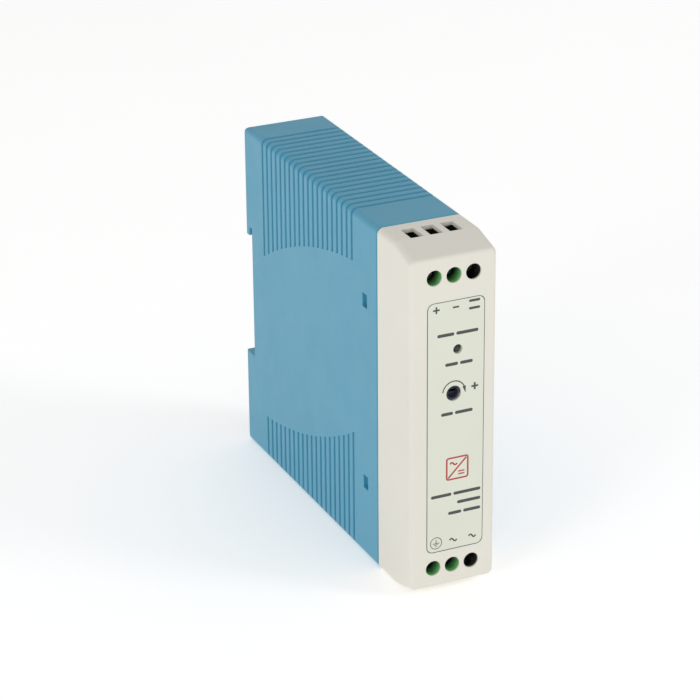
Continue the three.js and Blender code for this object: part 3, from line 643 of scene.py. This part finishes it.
def case_outline(y):
    """(x, z, outward direction, share of the groove depth) of each point round the case at one depth."""
    half, top, radius = HALF_WIDTH, HEIGHT, EDGE_RADIUS
    rising = [(lower_end(y) - into, share) for into, share in reversed(GROOVE_END)]
    rising += [(upper_end(y) + into, share) for into, share in GROOVE_END]
    points = [(half, z, 1, 0, share) for z, share in rising]

    def corner(x, z, start, steps=6):
        for i in range(steps + 1):
            angle = math.radians(start + 90 / steps * i)
            nx, nz = math.cos(angle), math.sin(angle)
            points.append((x + radius * nx, z + radius * nz, nx, nz, 1))

    corner(half - radius, top - radius, 0)
    corner(-half + radius, top - radius, 90)
    points.extend((-half, z, -1, 0, share) for z, share in reversed(rising))
    corner(-half + radius, radius, 180)
    corner(half - radius, radius, 270)
    return points


def case_depths():
    """(y, inset, groove depth) of every ring, from the seam to the rear."""
    rings = [(SEAM + depth, in_by, 0) for depth, in_by in reversed(edge_round(0.3))]
    for i in reversed(range(GROOVE_COUNT)):
        middle = GROOVE_FIRST_Y - i * GROOVE_PITCH
        rings += [(middle - u, 0, depth) for u, depth in reversed(GROOVE_PROFILE)]
        rings += [(middle + u, 0, depth) for u, depth in GROOVE_PROFILE[1:]]
    rings += [(REAR - depth, in_by, 0) for depth, in_by in edge_round(0.5)]
    return rings


def case_block():
    rings = []
    for y, in_by, groove in case_depths():
        ring = []
        for x, z, nx, nz, share in case_outline(y):
            sink = in_by + groove * share
            ring.append((x - nx * sink, y, z - nz * sink))
        rings.append(ring)
    return loft("case", rings)


def flare_steps(radius, steps=4):
    """(rise towards the surface, widening) pairs that round the rim of an opening."""
    angles = [math.radians(90 * i / steps) for i in range(steps + 1)]
    return [(radius * math.sin(a), radius * (1 - math.cos(a))) for a in angles]


def rear_cutter():
    """Rail recess and hook, and the step above the hook, rounded where they meet the sides."""
    hook_tip = RECESS_HIGH - HOOK_LENGTH
    beyond, corner, tip_bevel = 2, 2, 0.6
    outline = [
        (RAIL_SEAT, RECESS_LOW),
        (REAR + beyond, RECESS_LOW),
        (REAR + beyond, HEIGHT + beyond),
        (UPPER_REAR - corner, HEIGHT + beyond),
        *reversed(arc(UPPER_REAR - corner, HEIGHT - corner, corner, 0, 90, 8)),
        (UPPER_REAR, hook_tip),
        (GRIP_FRONT + tip_bevel, hook_tip),
        (GRIP_FRONT, hook_tip + tip_bevel),
        (GRIP_FRONT, RECESS_HIGH),
        (RAIL_SEAT, RECESS_HIGH),
    ]
    rim = 0.4
    half = [(HALF_WIDTH - rim + rise, out) for rise, out in flare_steps(rim)]
    half.append((HALF_WIDTH + 1, rim))
    sections = [(-x, offset(outline, out)) for x, out in reversed(half)]
    sections += [(x, offset(outline, out)) for x, out in half]
    return stations("rear_cutter", "X", sections)


def flared_cutter(name, axis, outline, inside, surface, radius):
    """Cutter whose outline widens towards the surface, so that the opening has a rounded rim."""
    way = 1 if surface > inside else -1
    sections = [(inside, outline)]
    start = surface - way * radius
    sections += [(start + way * rise, offset(outline, out)) for rise, out in flare_steps(radius)]
    sections.append((surface + way, offset(outline, radius)))
    return stations(name, axis, sections)


def pocket_cutter(side, z):
    outline = rounded_rectangle(
        POCKET_FRONT, POCKET_REAR, z - POCKET_HALF_HEIGHT, z + POCKET_HALF_HEIGHT, 0.25, 3
    )
    return flared_cutter("pocket", "X", outline, side * (INNER_X + POCKET_FLOOR), side * HALF_WIDTH, 0.14)


def cavity_cutter():
    rear_wall = 1.8
    rear_low, rear_high = RAIL_SEAT - rear_wall, UPPER_REAR - rear_wall
    step = RECESS_HIGH + rear_wall
    outline = [
        (SEAM - 1, WALL),
        (rear_low, WALL),
        (rear_low, step),
        (rear_high, step),
        (rear_high, HEIGHT - WALL),
        (SEAM - 1, HEIGHT - WALL),
    ]
    return prism("cavity", "X", outline, -INNER_X, INNER_X)


def channel_cutters():
    """T-shaped channel for the rail latch. Its two parts overlap, and their ends lie beyond the case's."""
    wide, narrow, overlap = CHANNEL_WIDE_HALF, CHANNEL_NARROW_HALF, 0.1
    deep = block("channel_wide", -wide, wide, CHANNEL_FLOOR, CHANNEL_STEP, -1, RECESS_LOW + 1)
    mouth_ends = (-1.2, RECESS_LOW + 1.2)
    mouth = block("channel_narrow", -narrow, narrow, CHANNEL_STEP - overlap, REAR + 1, *mouth_ends)
    return deep, mouth


def catches():
    """Wedges behind the side pockets, which the arms of the cap snap over."""
    root, lip, crest = INNER_X + 0.3, INNER_X - 0.1, INNER_X - 0.8
    front, rear = POCKET_FRONT + 0.35, POCKET_REAR - 0.35
    flat, half_height = 0.6, 1.4
    profile = [(root, front), (lip, front), (crest, rear - flat), (crest, rear), (root, rear)]
    pieces = []
    for z in POCKET_HEIGHTS:
        for side in (-1, 1):
            outline = [(side * x, y) for x, y in profile]
            pieces.append(prism("catch", "Z", outline, z - half_height, z + half_height))
    return pieces


def board_guides():
    """Two ribs beside the main board, which keep it in place."""
    face = node_box("main_board")[0][0]
    gap, thickness, front, rear = 0.3, 1, -20, 41
    pieces = []
    for low, high in ((WALL - 0.4, WALL + 1.3), (HEIGHT - WALL - 1.3, HEIGHT - WALL + 0.4)):
        pieces.append(block("guide", face - gap - thickness, face - gap, front, rear, low, high))
    return pieces


def spring_stop():
    """Peg that the latch spring pushes against."""
    half, low, height, reach = 1.5, 8.3, 3, 3.2
    return block("spring_stop", -half, half, RAIL_SEAT, RAIL_SEAT + reach, low, low + height)


def build_case():
    case = case_block()
    pockets = [pocket_cutter(side, z) for side in (-1, 1) for z in POCKET_HEIGHTS]
    cut(case, cavity_cutter(), rear_cutter(), *channel_cutters(), joined("pockets", pockets))
    fuse(case, joined("fittings", [*catches(), *board_guides(), spring_stop()]))
    shade(case)
    finish_piece(case, CASE, "case_plastic", "case", "housing_shell")


# ---------------------------------------------------------------- front cap
def chamfer_drop(y):
    """How far the end faces of the cap have sloped in at a depth, with a soft bend where the slope starts."""
    ahead = CHAMFER_START - y
    slope = CHAMFER_DROP / (CHAMFER_START - FRONT)
    bend = 0.5
    if ahead <= -bend:
        return 0
    if ahead < bend:
        return slope * (ahead + bend) ** 2 / (4 * bend)
    return slope * ahead


def cap_block():
    half, front_radius, end_radius = HALF_WIDTH, FRONT_EDGE_RADIUS, 0.7
    depths = [(CAP_REAR - depth, in_by, in_by) for depth, in_by in reversed(edge_round(0.4))]
    bend = [CHAMFER_START - ahead for ahead in (-1, -0.5, -0.25, 0, 0.25, 0.5, 4)]
    depths += [(y, 0, chamfer_drop(y)) for y in bend]
    steps = 8
    for i in range(steps + 1):
        angle = math.radians(90 * i / steps)
        y = FRONT + front_radius * (1 - math.sin(angle))
        side = front_radius * (1 - math.cos(angle))
        near = max(0, end_radius - (y - FRONT))
        end = end_radius - math.sqrt(end_radius**2 - near**2)
        depths.append((y, side, chamfer_drop(y) + end))
    sections = []
    for y, side, end in depths:
        radius = max(0.5, EDGE_RADIUS - side * 0.6)
        outline = rounded_rectangle(-half + side, half - side, end, HEIGHT - end, radius, 8)
        sections.append((y, outline))
    return stations("cap", "Y", sections)


def inset(top, distance):
    """Height at a distance in from the top or the bottom."""
    return HEIGHT - distance if top else distance


def span(top, outer, inner):
    """Lowest and highest of the heights at two distances in from the top or the bottom."""
    return sorted((inset(top, outer), inset(top, inner)))


def cap_cavity():
    inner_front = FRONT + CAP_FRONT_WALL
    drop = CAP_WALL + chamfer_drop(inner_front)
    outline = [
        (CAP_REAR + 1, CAP_WALL),
        (CAP_REAR + 1, HEIGHT - CAP_WALL),
        (CHAMFER_START, HEIGHT - CAP_WALL),
        (inner_front, HEIGHT - drop),
        (inner_front, drop),
        (CHAMFER_START, CAP_WALL),
    ]
    half = HALF_WIDTH - CAP_SIDE_WALL
    return prism("cap_cavity", "X", outline, -half, half)


def wall_reliefs():
    """The walls are thinner round the wire entries, and in front of the boss of each terminal block."""
    half, reach = BLOCK_HALF_WIDTH + 0.3, BOSS_HALF_HEIGHT + 0.2
    reliefs = []
    for top in (False, True):
        ends = span(top, ENTRY_WALL, CAP_WALL + 1)
        reliefs.append(block("relief", -half, half, ENTRY_FRONT + 0.1, ENTRY_REAR + 0.6, *ends))
        z = inset(top, SCREW_INSET)
        depths = (FRONT + SCREW_WALL, FRONT + CAP_FRONT_WALL + 1)
        reliefs.append(block("relief", -half, half, *depths, z - reach, z + reach))
    return joined("reliefs", reliefs)


def entry_cutter(x, top):
    mouth = rounded_rectangle(x - ENTRY_HALF_WIDTH, x + ENTRY_HALF_WIDTH, ENTRY_FRONT, ENTRY_REAR, 0.2, 3)
    return flared_cutter("entry", "Z", mouth, inset(top, CAP_WALL + 0.5), inset(top, 0), 0.12)


def face_hole(x, z, radius, rim=0.16):
    return flared_cutter("hole", "Y", circle(x, z, radius), FRONT + 3, FRONT, rim)


def lamp_and_adjuster_holes(rim):
    holes = [
        face_hole(LAMP_X, LAMP_Z, LAMP_HOLE_RADIUS, rim),
        face_hole(ADJUST_X, ADJUST_Z, ADJUST_HOLE_RADIUS, rim),
    ]
    return joined("round_holes", holes)


def label_outline(margin=0.0):
    left, right = LABEL_LOW[0] - margin, LABEL_HIGH[0] + margin
    low, high = LABEL_LOW[2] - margin, LABEL_HIGH[2] + margin
    return rounded_rectangle(left, right, low, high, LABEL_RADIUS + margin)


def snap_arms():
    """Four arms with slots, which close over the catches inside the case."""
    arm_inner, arm_outer, root_outer = INNER_X - 1.3, INNER_X - 0.2, HALF_WIDTH - 1
    slot_inner, slot_outer = INNER_X - 3, INNER_X + 1
    root_front, root_rear, tip = CAP_REAR - 3.6, CAP_REAR - 0.1, POCKET_REAR + 0.9
    # the arm is a little lower than its root, so that their ends don't coincide
    half_height, less = 2.5, 0.01
    arms = []
    for z in POCKET_HEIGHTS:
        for side in (-1, 1):
            inner = side * arm_inner
            ends = (z - half_height, z + half_height)
            root = block("root", inner, side * root_outer, root_front, root_rear, *ends)
            ends = (z - half_height + less, z + half_height - less)
            arm = block("arm", inner, side * arm_outer, root_front + 0.1, tip, *ends)
            ends = (z - POCKET_HALF_HEIGHT, z + POCKET_HALF_HEIGHT)
            slot = block("slot", side * slot_inner, side * slot_outer, POCKET_FRONT, POCKET_REAR, *ends)
            arms.append(cut(fuse(root, arm), slot))
    return joined("arms", arms)


def build_cap():
    cap = cap_block()
    holes = [face_hole(x, z, SCREW_HOLE_RADIUS) for z in (SCREW_INSET, HEIGHT - SCREW_INSET) for x in POLES]
    entries = [entry_cutter(x, top) for top in (False, True) for x in POLES]
    recess_floor = FRONT + LABEL_THICKNESS + 0.02
    recess = prism("recess", "Y", label_outline(LABEL_MARGIN), FRONT - 1, recess_floor)
    cut(cap, cap_cavity(), wall_reliefs(), joined("holes", holes), joined("entries", entries), recess)
    cut(cap, lamp_and_adjuster_holes(0.02))
    fuse(cap, snap_arms())
    shade(cap)
    finish_piece(cap, CAP, "cap_plastic", "case", "front_cap")


# ---------------------------------------------------------------- label and its print
def build_label():
    outline = label_outline()
    rim = 0.05
    sections = [(FRONT + LABEL_THICKNESS, outline)]
    sections += [(FRONT + depth, offset(outline, -in_by)) for depth, in_by in edge_round(rim)]
    label = stations("label", "Y", sections)
    cut(label, lamp_and_adjuster_holes(0.04))
    shade(label)
    finish_piece(label, LABEL, "label_film", "case", "front_label")


def ink_shape(outline):
    """Ink inside an outline in the label's plane."""
    return prism("ink", "Y", outline, FRONT + INK_SUNK, FRONT - INK_THICKNESS)


def ink_band(left, right, closed=False):
    """Flat band of ink between two rows of points in the label's plane."""
    faces = []
    count = len(left)
    pairs = range(count if closed else count - 1)
    vertices = [(u, FRONT - INK_THICKNESS, v) for u, v in left + right]
    vertices += [(u, FRONT + INK_SUNK, v) for u, v in left + right]
    total = 2 * count
    for i in pairs:
        j = (i + 1) % count
        faces.append((i, j, count + j, count + i))
        faces.append((total + i, total + count + i, total + count + j, total + j))
        faces.append((i, total + i, total + j, j))
        faces.append((count + i, count + j, total + count + j, total + count + i))
    if not closed:
        for i in (0, count - 1):
            faces.append((i, count + i, total + count + i, total + i))
    return new_object("ink", vertices, faces)


def stroke(points, width):
    """Line of ink through points, with square ends."""
    left, right = [], []
    for i, point in enumerate(points):
        before = Vector(points[max(0, i - 1)])
        after = Vector(points[min(len(points) - 1, i + 1)])
        along = (after - before).normalized()
        across = Vector((-along.y, along.x)) * (width / 2)
        left.append((point[0] + across.x, point[1] + across.y))
        right.append((point[0] - across.x, point[1] - across.y))
    return ink_band(left, right)


def frame_line(outline, width):
    """Closed line of ink along an outline."""
    return ink_band(offset(outline, width / 2), offset(outline, -width / 2), closed=True)


def bar(u0, u1, v, height):
    """Plain rounded bar that stands where a line of lettering would be."""
    radius = height * 0.45
    return ink_shape(rounded_rectangle(u0, u1, v - height / 2, v + height / 2, radius, 4))


def bars(u0, u1, v, shares, height=0.8):
    """Row of plain bars filling a width in the given shares, with even gaps."""
    gap = 0.55
    room = (u1 - u0) - gap * (len(shares) - 1)
    pieces = []
    start = u0
    for share in shares:
        end = start + room * share / sum(shares)
        pieces.append(bar(start, end, v, height))
        start = end + gap
    return pieces


def plus_sign(u, v, size, width):
    half, arm = size / 2, width / 2
    outline = [(u + half, v - arm), (u + half, v + arm), (u + arm, v + arm), (u + arm, v + half)]
    outline += [(u - arm, v + half), (u - arm, v + arm), (u - half, v + arm), (u - half, v - arm)]
    outline += [(u - arm, v - arm), (u - arm, v - half), (u + arm, v - half), (u + arm, v - arm)]
    return ink_shape(outline)


def ripple(u, v, length, height, width):
    """One period of a wave: the sign for alternating current."""
    steps = 16
    points = [
        (u + length * (i / steps - 0.5), v + height / 2 * math.sin(2 * math.pi * i / steps))
        for i in range(steps + 1)
    ]
    return stroke(points, width)


def turn_arrow():
    """Arrow round the adjuster, pointing clockwise."""
    radius, width, head_half_width = 2.95, 0.28, 0.45
    line_start, line_end, head_angle = 172, 22, math.radians(24)
    middle = (ADJUST_X, ADJUST_Z + 0.2)
    line = stroke(arc(*middle, radius, line_start, line_end, 24), width)
    tip = (middle[0] + 3.1, middle[1] - 0.6)
    base = (middle[0] + radius * math.cos(head_angle), middle[1] + radius * math.sin(head_angle))
    along = (Vector(tip) - Vector(base)).normalized()
    across = Vector((-along.y, along.x)) * head_half_width
    outline = [tip, (base[0] + across.x, base[1] + across.y), (base[0] - across.x, base[1] - across.y)]
    return [line, ink_shape(outline)]


def earth_sign(u, v):
    """Ring round an upright over three shrinking lines."""
    radius, upright, width = 1.5, 0.95, 0.17
    pieces = [frame_line(circle(u, v, radius), width), stroke([(u, v + upright), (u, v)], width)]
    for half, drop in ((0.85, 0.08), (0.52, 0.45), (0.2, 0.82)):
        pieces.append(stroke([(u - half, v - drop), (u + half, v - drop)], width))
    return pieces


def converter_sign(u, v, size):
    """Square crossed by a diagonal, alternating current on one side and direct current on the other."""
    half, width = size / 2, 0.42
    pieces = [frame_line(rounded_rectangle(u - half, u + half, v - half, v + half, 0.5), width)]
    inner = half - width
    pieces.append(stroke([(u - inner, v - inner), (u + inner, v + inner)], width))
    pieces.append(ripple(u - half * 0.36, v + half * 0.45, size * 0.34, size * 0.12, width))
    for shift in (-0.36, 0.36):
        row = v - half * 0.48 + shift
        pieces.append(stroke([(u + half * 0.1, row), (u + half * 0.68, row)], width * 0.8))
    return pieces


# rows of plain bars: left end, right end, height, and share of the width that each bar takes
BAR_ROWS = [
    (-4.3, 6.4, 68, (2.6, 3.4)),
    (-2.2, 5, 60.3, (1, 1)),
    (-3.2, 5.1, 47.6, (1, 1.5)),
    (-5.8, 7.4, 26.3, (3, 4)),
    (1.2, 7.4, 23.8, (1,)),
    (-1.2, 7.4, 21.2, (1, 1.3)),
]


def build_print():
    """Generic marks in the places of the printed ones: signs, plain bars and a thin frame."""
    frame_left, frame_right, frame_low, frame_high = -6.85, 8, 11.5, 76.5
    thin_frame = rounded_rectangle(frame_left, frame_right, frame_low, frame_high, 1.7)
    marks = [frame_line(thin_frame, 0.14)]
    top_row = HEIGHT - 15.3
    marks.append(plus_sign(POLES[0] + 0.5, top_row, 1.7, 0.42))
    marks.append(stroke([(POLES[1] - 0.3, top_row), (POLES[1] + 1.3, top_row)], 0.42))
    for row in (top_row + 0.9, top_row - 1):
        marks += bars(3.9, 6.8, row, [1], 0.62)
    for left, right, row, shares in BAR_ROWS:
        marks += bars(left, right, row, shares)
    marks += turn_arrow()
    marks.append(plus_sign(5.6, ADJUST_Z + 0.9, 1.8, 0.48))
    bottom_row = 13.9
    marks += earth_sign(-4.4, bottom_row)
    marks += [ripple(x, bottom_row, 1.9, 0.8, 0.38) for x in (0.2, 5.3)]
    dark = joined("label_print", marks)
    finish_piece(dark, PRINT, "label_film", "case")
    accent = joined("label_sign", converter_sign(1.15, 33, 5.6))
    finish_piece(accent, ACCENT, "label_film", "case")


# ---------------------------------------------------------------- terminals
def terminal_block(name, top):
    """Block with a screw well, a clamp chamber and a wire mouth for each pole."""
    low, high = node_box(name)
    boss_front, rear = low[1], high[1]
    half, front = BLOCK_HALF_WIDTH, BLOCK_FRONT
    outline = [
        (rear, inset(top, BLOCK_INSET)),
        (CHAMFER_START, inset(top, BLOCK_INSET)),
        (front, inset(top, BLOCK_INSET + chamfer_drop(front) + 0.2)),
        (front, inset(top, BLOCK_DEPTH_INSET)),
        (rear, inset(top, BLOCK_DEPTH_INSET)),
    ]
    body = prism("block", "X", outline, -half, half)
    screw_z = inset(top, SCREW_INSET)
    boss_ends = (screw_z - BOSS_HALF_HEIGHT, screw_z + BOSS_HALF_HEIGHT)
    fuse(body, block("boss", 0.1 - half, BOSS_RIGHT, boss_front, front + 0.5, *boss_ends))
    profile = [
        (FRONT, WELL_RADIUS),
        (WELL_FLOOR, WELL_RADIUS),
        (WELL_FLOOR, SHANK_HOLE_RADIUS),
        (CHAMBER_FRONT + 0.5, SHANK_HOLE_RADIUS),
    ]
    wells, chambers, mouths = [], [], []
    for x in POLES:
        wells.append(turned_y("well", x, screw_z, profile))
        sides = (x - CHAMBER_HALF_WIDTH, x + CHAMBER_HALF_WIDTH)
        ends = span(top, 0, CHAMBER_END_INSET)
        chambers.append(block("chamber", *sides, CHAMBER_FRONT, CHAMBER_REAR, *ends))
        sides = (x - MOUTH_HALF_WIDTH, x + MOUTH_HALF_WIDTH)
        ends = span(top, 0, MOUTH_DEPTH_INSET)
        mouths.append(block("mouth", *sides, ENTRY_FRONT - 0.2, ENTRY_REAR + 0.2, *ends))
    # the last pole has no walls in front of its screw
    ends = span(top, 0, BLOCK_DEPTH_INSET + 1)
    open_front = block("open_front", BOSS_RIGHT + 0.2, half + 1, front - 1, WELL_FLOOR, *ends)
    cut(body, joined("wells", wells), joined("chambers", chambers), joined("mouths", mouths), open_front)
    body.name = name.replace("terminal_block", "terminal")
    shade(body)
    finish_piece(body, TERMINAL, "terminal_plastic", "case", name)


def terminal_screw(number):
    """Slotted cheese-head screw."""
    low, high = node_box(f"terminal_screw_{number}")
    x, _, z = node_centre(f"terminal_screw_{number}")
    front, rear, radius = low[1], high[1], high[0] - x
    head, shank = SCREW_HEAD_LENGTH, SCREW_SHANK_RADIUS
    slot_reach, slot_depth, slot_half = 2.5, 0.9, 0.32
    profile = [
        (front, radius - 0.45),
        (front + 0.08, radius - 0.22),
        (front + 0.3, radius),
        (front + head - 0.1, radius),
        (front + head, radius - 0.1),
        (front + head, shank),
        (rear - 0.3, shank),
        (rear, shank - 0.3),
    ]
    screw = turned_y(f"screw_{number}", x, z, profile)
    sides = (x - slot_reach, x + slot_reach)
    cut(screw, block("slot", *sides, front - 1, front + slot_depth, z - slot_half, z + slot_half))
    shade(screw)
    soften(screw, 0.05)
    finish_piece(screw, STEEL, "plated_steel", f"screw_{number}", f"terminal_screw_{number}")


def build_terminals():
    terminal_block("terminal_block_output", True)
    terminal_block("terminal_block_input", False)
    for number in range(1, 7):
        terminal_screw(number)


# ---------------------------------------------------------------- lamp and adjuster
def steps_to(start, end, count):
    return [start + (end - start) * i / count for i in range(count + 1)]


def build_lamp():
    """Domed lens with a collar behind the front wall."""
    low, high = node_box("light_pipe")
    tip, tail, radius = low[1], high[1], LAMP_HOLE_RADIUS - 0.12
    collar_front, collar_rear, collar_radius = FRONT + 1.7, FRONT + 2.5, radius + 0.7
    angles = steps_to(0.06, math.pi / 2, 8)
    dome = [(tip + radius * (1 - math.cos(a)), radius * math.sin(a)) for a in angles]
    collar = [(collar_front, radius), (collar_front, collar_radius)]
    collar += [(collar_rear, collar_radius), (collar_rear, radius)]
    pipe = turned_y("lamp_lens", LAMP_X, LAMP_Z, dome + collar + [(tail, radius)])
    shade(pipe)
    finish_piece(pipe, LENS, "lamp_lens", "case", "light_pipe")


def build_adjuster():
    """Cup-ended shaft with a screwdriver slot at the bottom of the cup."""
    low, high = node_box("trimmer_rotor")
    tip, tail, radius = low[1], high[1], high[0] - ADJUST_X
    cup_floor, cup_radius, cup_rim = tip + 1.5, 1.4, 0.1
    slot_reach, slot_depth, slot_half = 1.38, 0.8, 0.3
    profile = [(tip, radius - 0.12), (tip + 0.12, radius), (tail - 0.2, radius), (tail, radius - 0.2)]
    shaft = turned_y("adjuster_shaft", ADJUST_X, ADJUST_Z, profile)
    rim_radius = cup_radius + cup_rim
    hollow = [(tip - 1, rim_radius), (tip, rim_radius), (tip + cup_rim, cup_radius), (cup_floor, cup_radius)]
    cup = turned_y("cup", ADJUST_X, ADJUST_Z, hollow)
    sides = (ADJUST_X - slot_reach, ADJUST_X + slot_reach)
    ends = (ADJUST_Z - slot_half, ADJUST_Z + slot_half)
    cut(shaft, cup, block("slot", *sides, cup_floor - 0.1, cup_floor + slot_depth, *ends))
    shade(shaft)
    finish_piece(shaft, ADJUSTER, "black_plastic", "adjuster", "trimmer_rotor")


# ---------------------------------------------------------------- latch spring
def build_spring():
    """Compression spring with closed ends, between the stop in the case and the top of the latch pocket."""
    low, high = node_box("latch_spring")
    wire, wire_sides, turns, steps_per_turn = 0.22, 10, 6, 24
    centre_x, centre_y = (low[0] + high[0]) / 2, (low[1] + high[1]) / 2
    radius = (high[0] - low[0]) / 2 - wire
    bottom, top = low[2] + wire, high[2] - wire
    total = turns * steps_per_turn
    rings = []
    for i in range(total + 1):
        share = i / total
        angle = 2 * math.pi * turns * share
        # the first and last turns lie close together
        eased = share + 0.04 * math.sin(4 * math.pi * share)
        outward = Vector((math.cos(angle), math.sin(angle), 0))
        centre = Vector((centre_x, centre_y, bottom + (top - bottom) * eased)) + outward * radius
        ring = []
        for j in range(wire_sides):
            around = 2 * math.pi * j / wire_sides
            ring.append(centre + outward * wire * math.cos(around) + Vector((0, 0, wire * math.sin(around))))
        rings.append(ring)
    spring = loft("latch_coil", rings)
    shade(spring)
    finish_piece(spring, SPRING, "spring_steel", "case", "latch_spring")
    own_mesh(spring)


# ---------------------------------------------------------------- CAD nodes that stay
def dress_nodes():
    """Gives every CAD node that is still shown its material and softened edges."""
    slots = {part["node"]: part["material_slot"] for part in frame["record"]["subparts"]}
    for name, node in frame["nodes"].items():
        if node.hide_render:
            continue
        node.data.materials.clear()
        node.data.materials.append(SLOT_MATERIALS[slots[name]])
        soften(node, 0.3 if name == "rail_latch" else 0.12)


# ---------------------------------------------------------------- studio
def build_studio():
    floor_material = Surface("studio_floor", (0.92, 0.92, 0.915, 1), 0.7)
    floor_material.tinted(floor_material.noise(60, 2), 0.004)
    # a light table: the floor glows a little, as in a product studio
    floor_material.shader.inputs["Emission Color"].default_value = (1, 1, 1, 1)
    floor_material.shader.inputs["Emission Strength"].default_value = 0.3
    reach = 3000
    corners = [(-reach, -reach, 0), (reach, -reach, 0), (reach, reach, 0), (-reach, reach, 0)]
    floor = new_object("studio_floor", corners, [(0, 1, 2, 3)])
    floor.data.materials.append(floor_material.material)
    floor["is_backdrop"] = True

    world = bpy.data.worlds.new("studio")
    bpy.context.scene.world = world
    world.use_nodes = True
    sky = world.node_tree.nodes["Background"]
    sky.inputs["Color"].default_value = (1, 1, 1, 1)
    sky.inputs["Strength"].default_value = 0.65

    def softbox(name, location, size, power):
        light = bpy.data.lights.new(name, "AREA")
        light.shape = "RECTANGLE"
        light.size, light.size_y = size
        light.energy = power
        lamp = bpy.data.objects.new(name, light)
        lamp.location = location
        aim = Vector((0, 0, HEIGHT / 2 * MM)) - Vector(location)
        lamp.rotation_euler = aim.to_track_quat("-Z", "Y").to_euler()
        bpy.context.collection.objects.link(lamp)

    softbox("key", (-0.85, -0.5, 0.32), (0.35, 0.35), 2.2)
    softbox("fill", (0.75, -0.7, 0.6), (0.3, 0.3), 2.2)
    bpy.context.scene.view_settings.view_transform = "Standard"


def build_camera():
    """Long lens, looking down at the front-left corner."""
    azimuth, elevation, roll = map(math.radians, (-24.82, 23.75, -0.39))
    distance = 714
    level = math.cos(elevation)
    away = Vector((math.sin(azimuth) * level, -math.cos(azimuth) * level, math.sin(elevation)))
    target = Vector((0, 0, HEIGHT / 2))
    camera = bpy.data.cameras.new("camera")
    camera.lens = 146.2
    camera.sensor_width = 36
    camera.shift_x = -0.02
    camera.shift_y = -0.0053
    camera.clip_end = 20
    view = bpy.data.objects.new("camera", camera)
    facing = (-away).to_track_quat("-Z", "Y").to_matrix().to_4x4()
    position = Matrix.Translation((target + away * distance) * MM)
    view.matrix_world = position @ facing @ Matrix.Rotation(roll, 4, "Z")
    bpy.context.collection.objects.link(view)
    bpy.context.scene.camera = view


build_case()
build_cap()
build_label()
build_print()
build_terminals()
build_lamp()
build_adjuster()
build_spring()
dress_nodes()
build_studio()
build_camera()

boxes = {"cad": cad_box, "visual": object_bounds()}
{name: [list(corner) for corner in pair] for name, pair in boxes.items()}
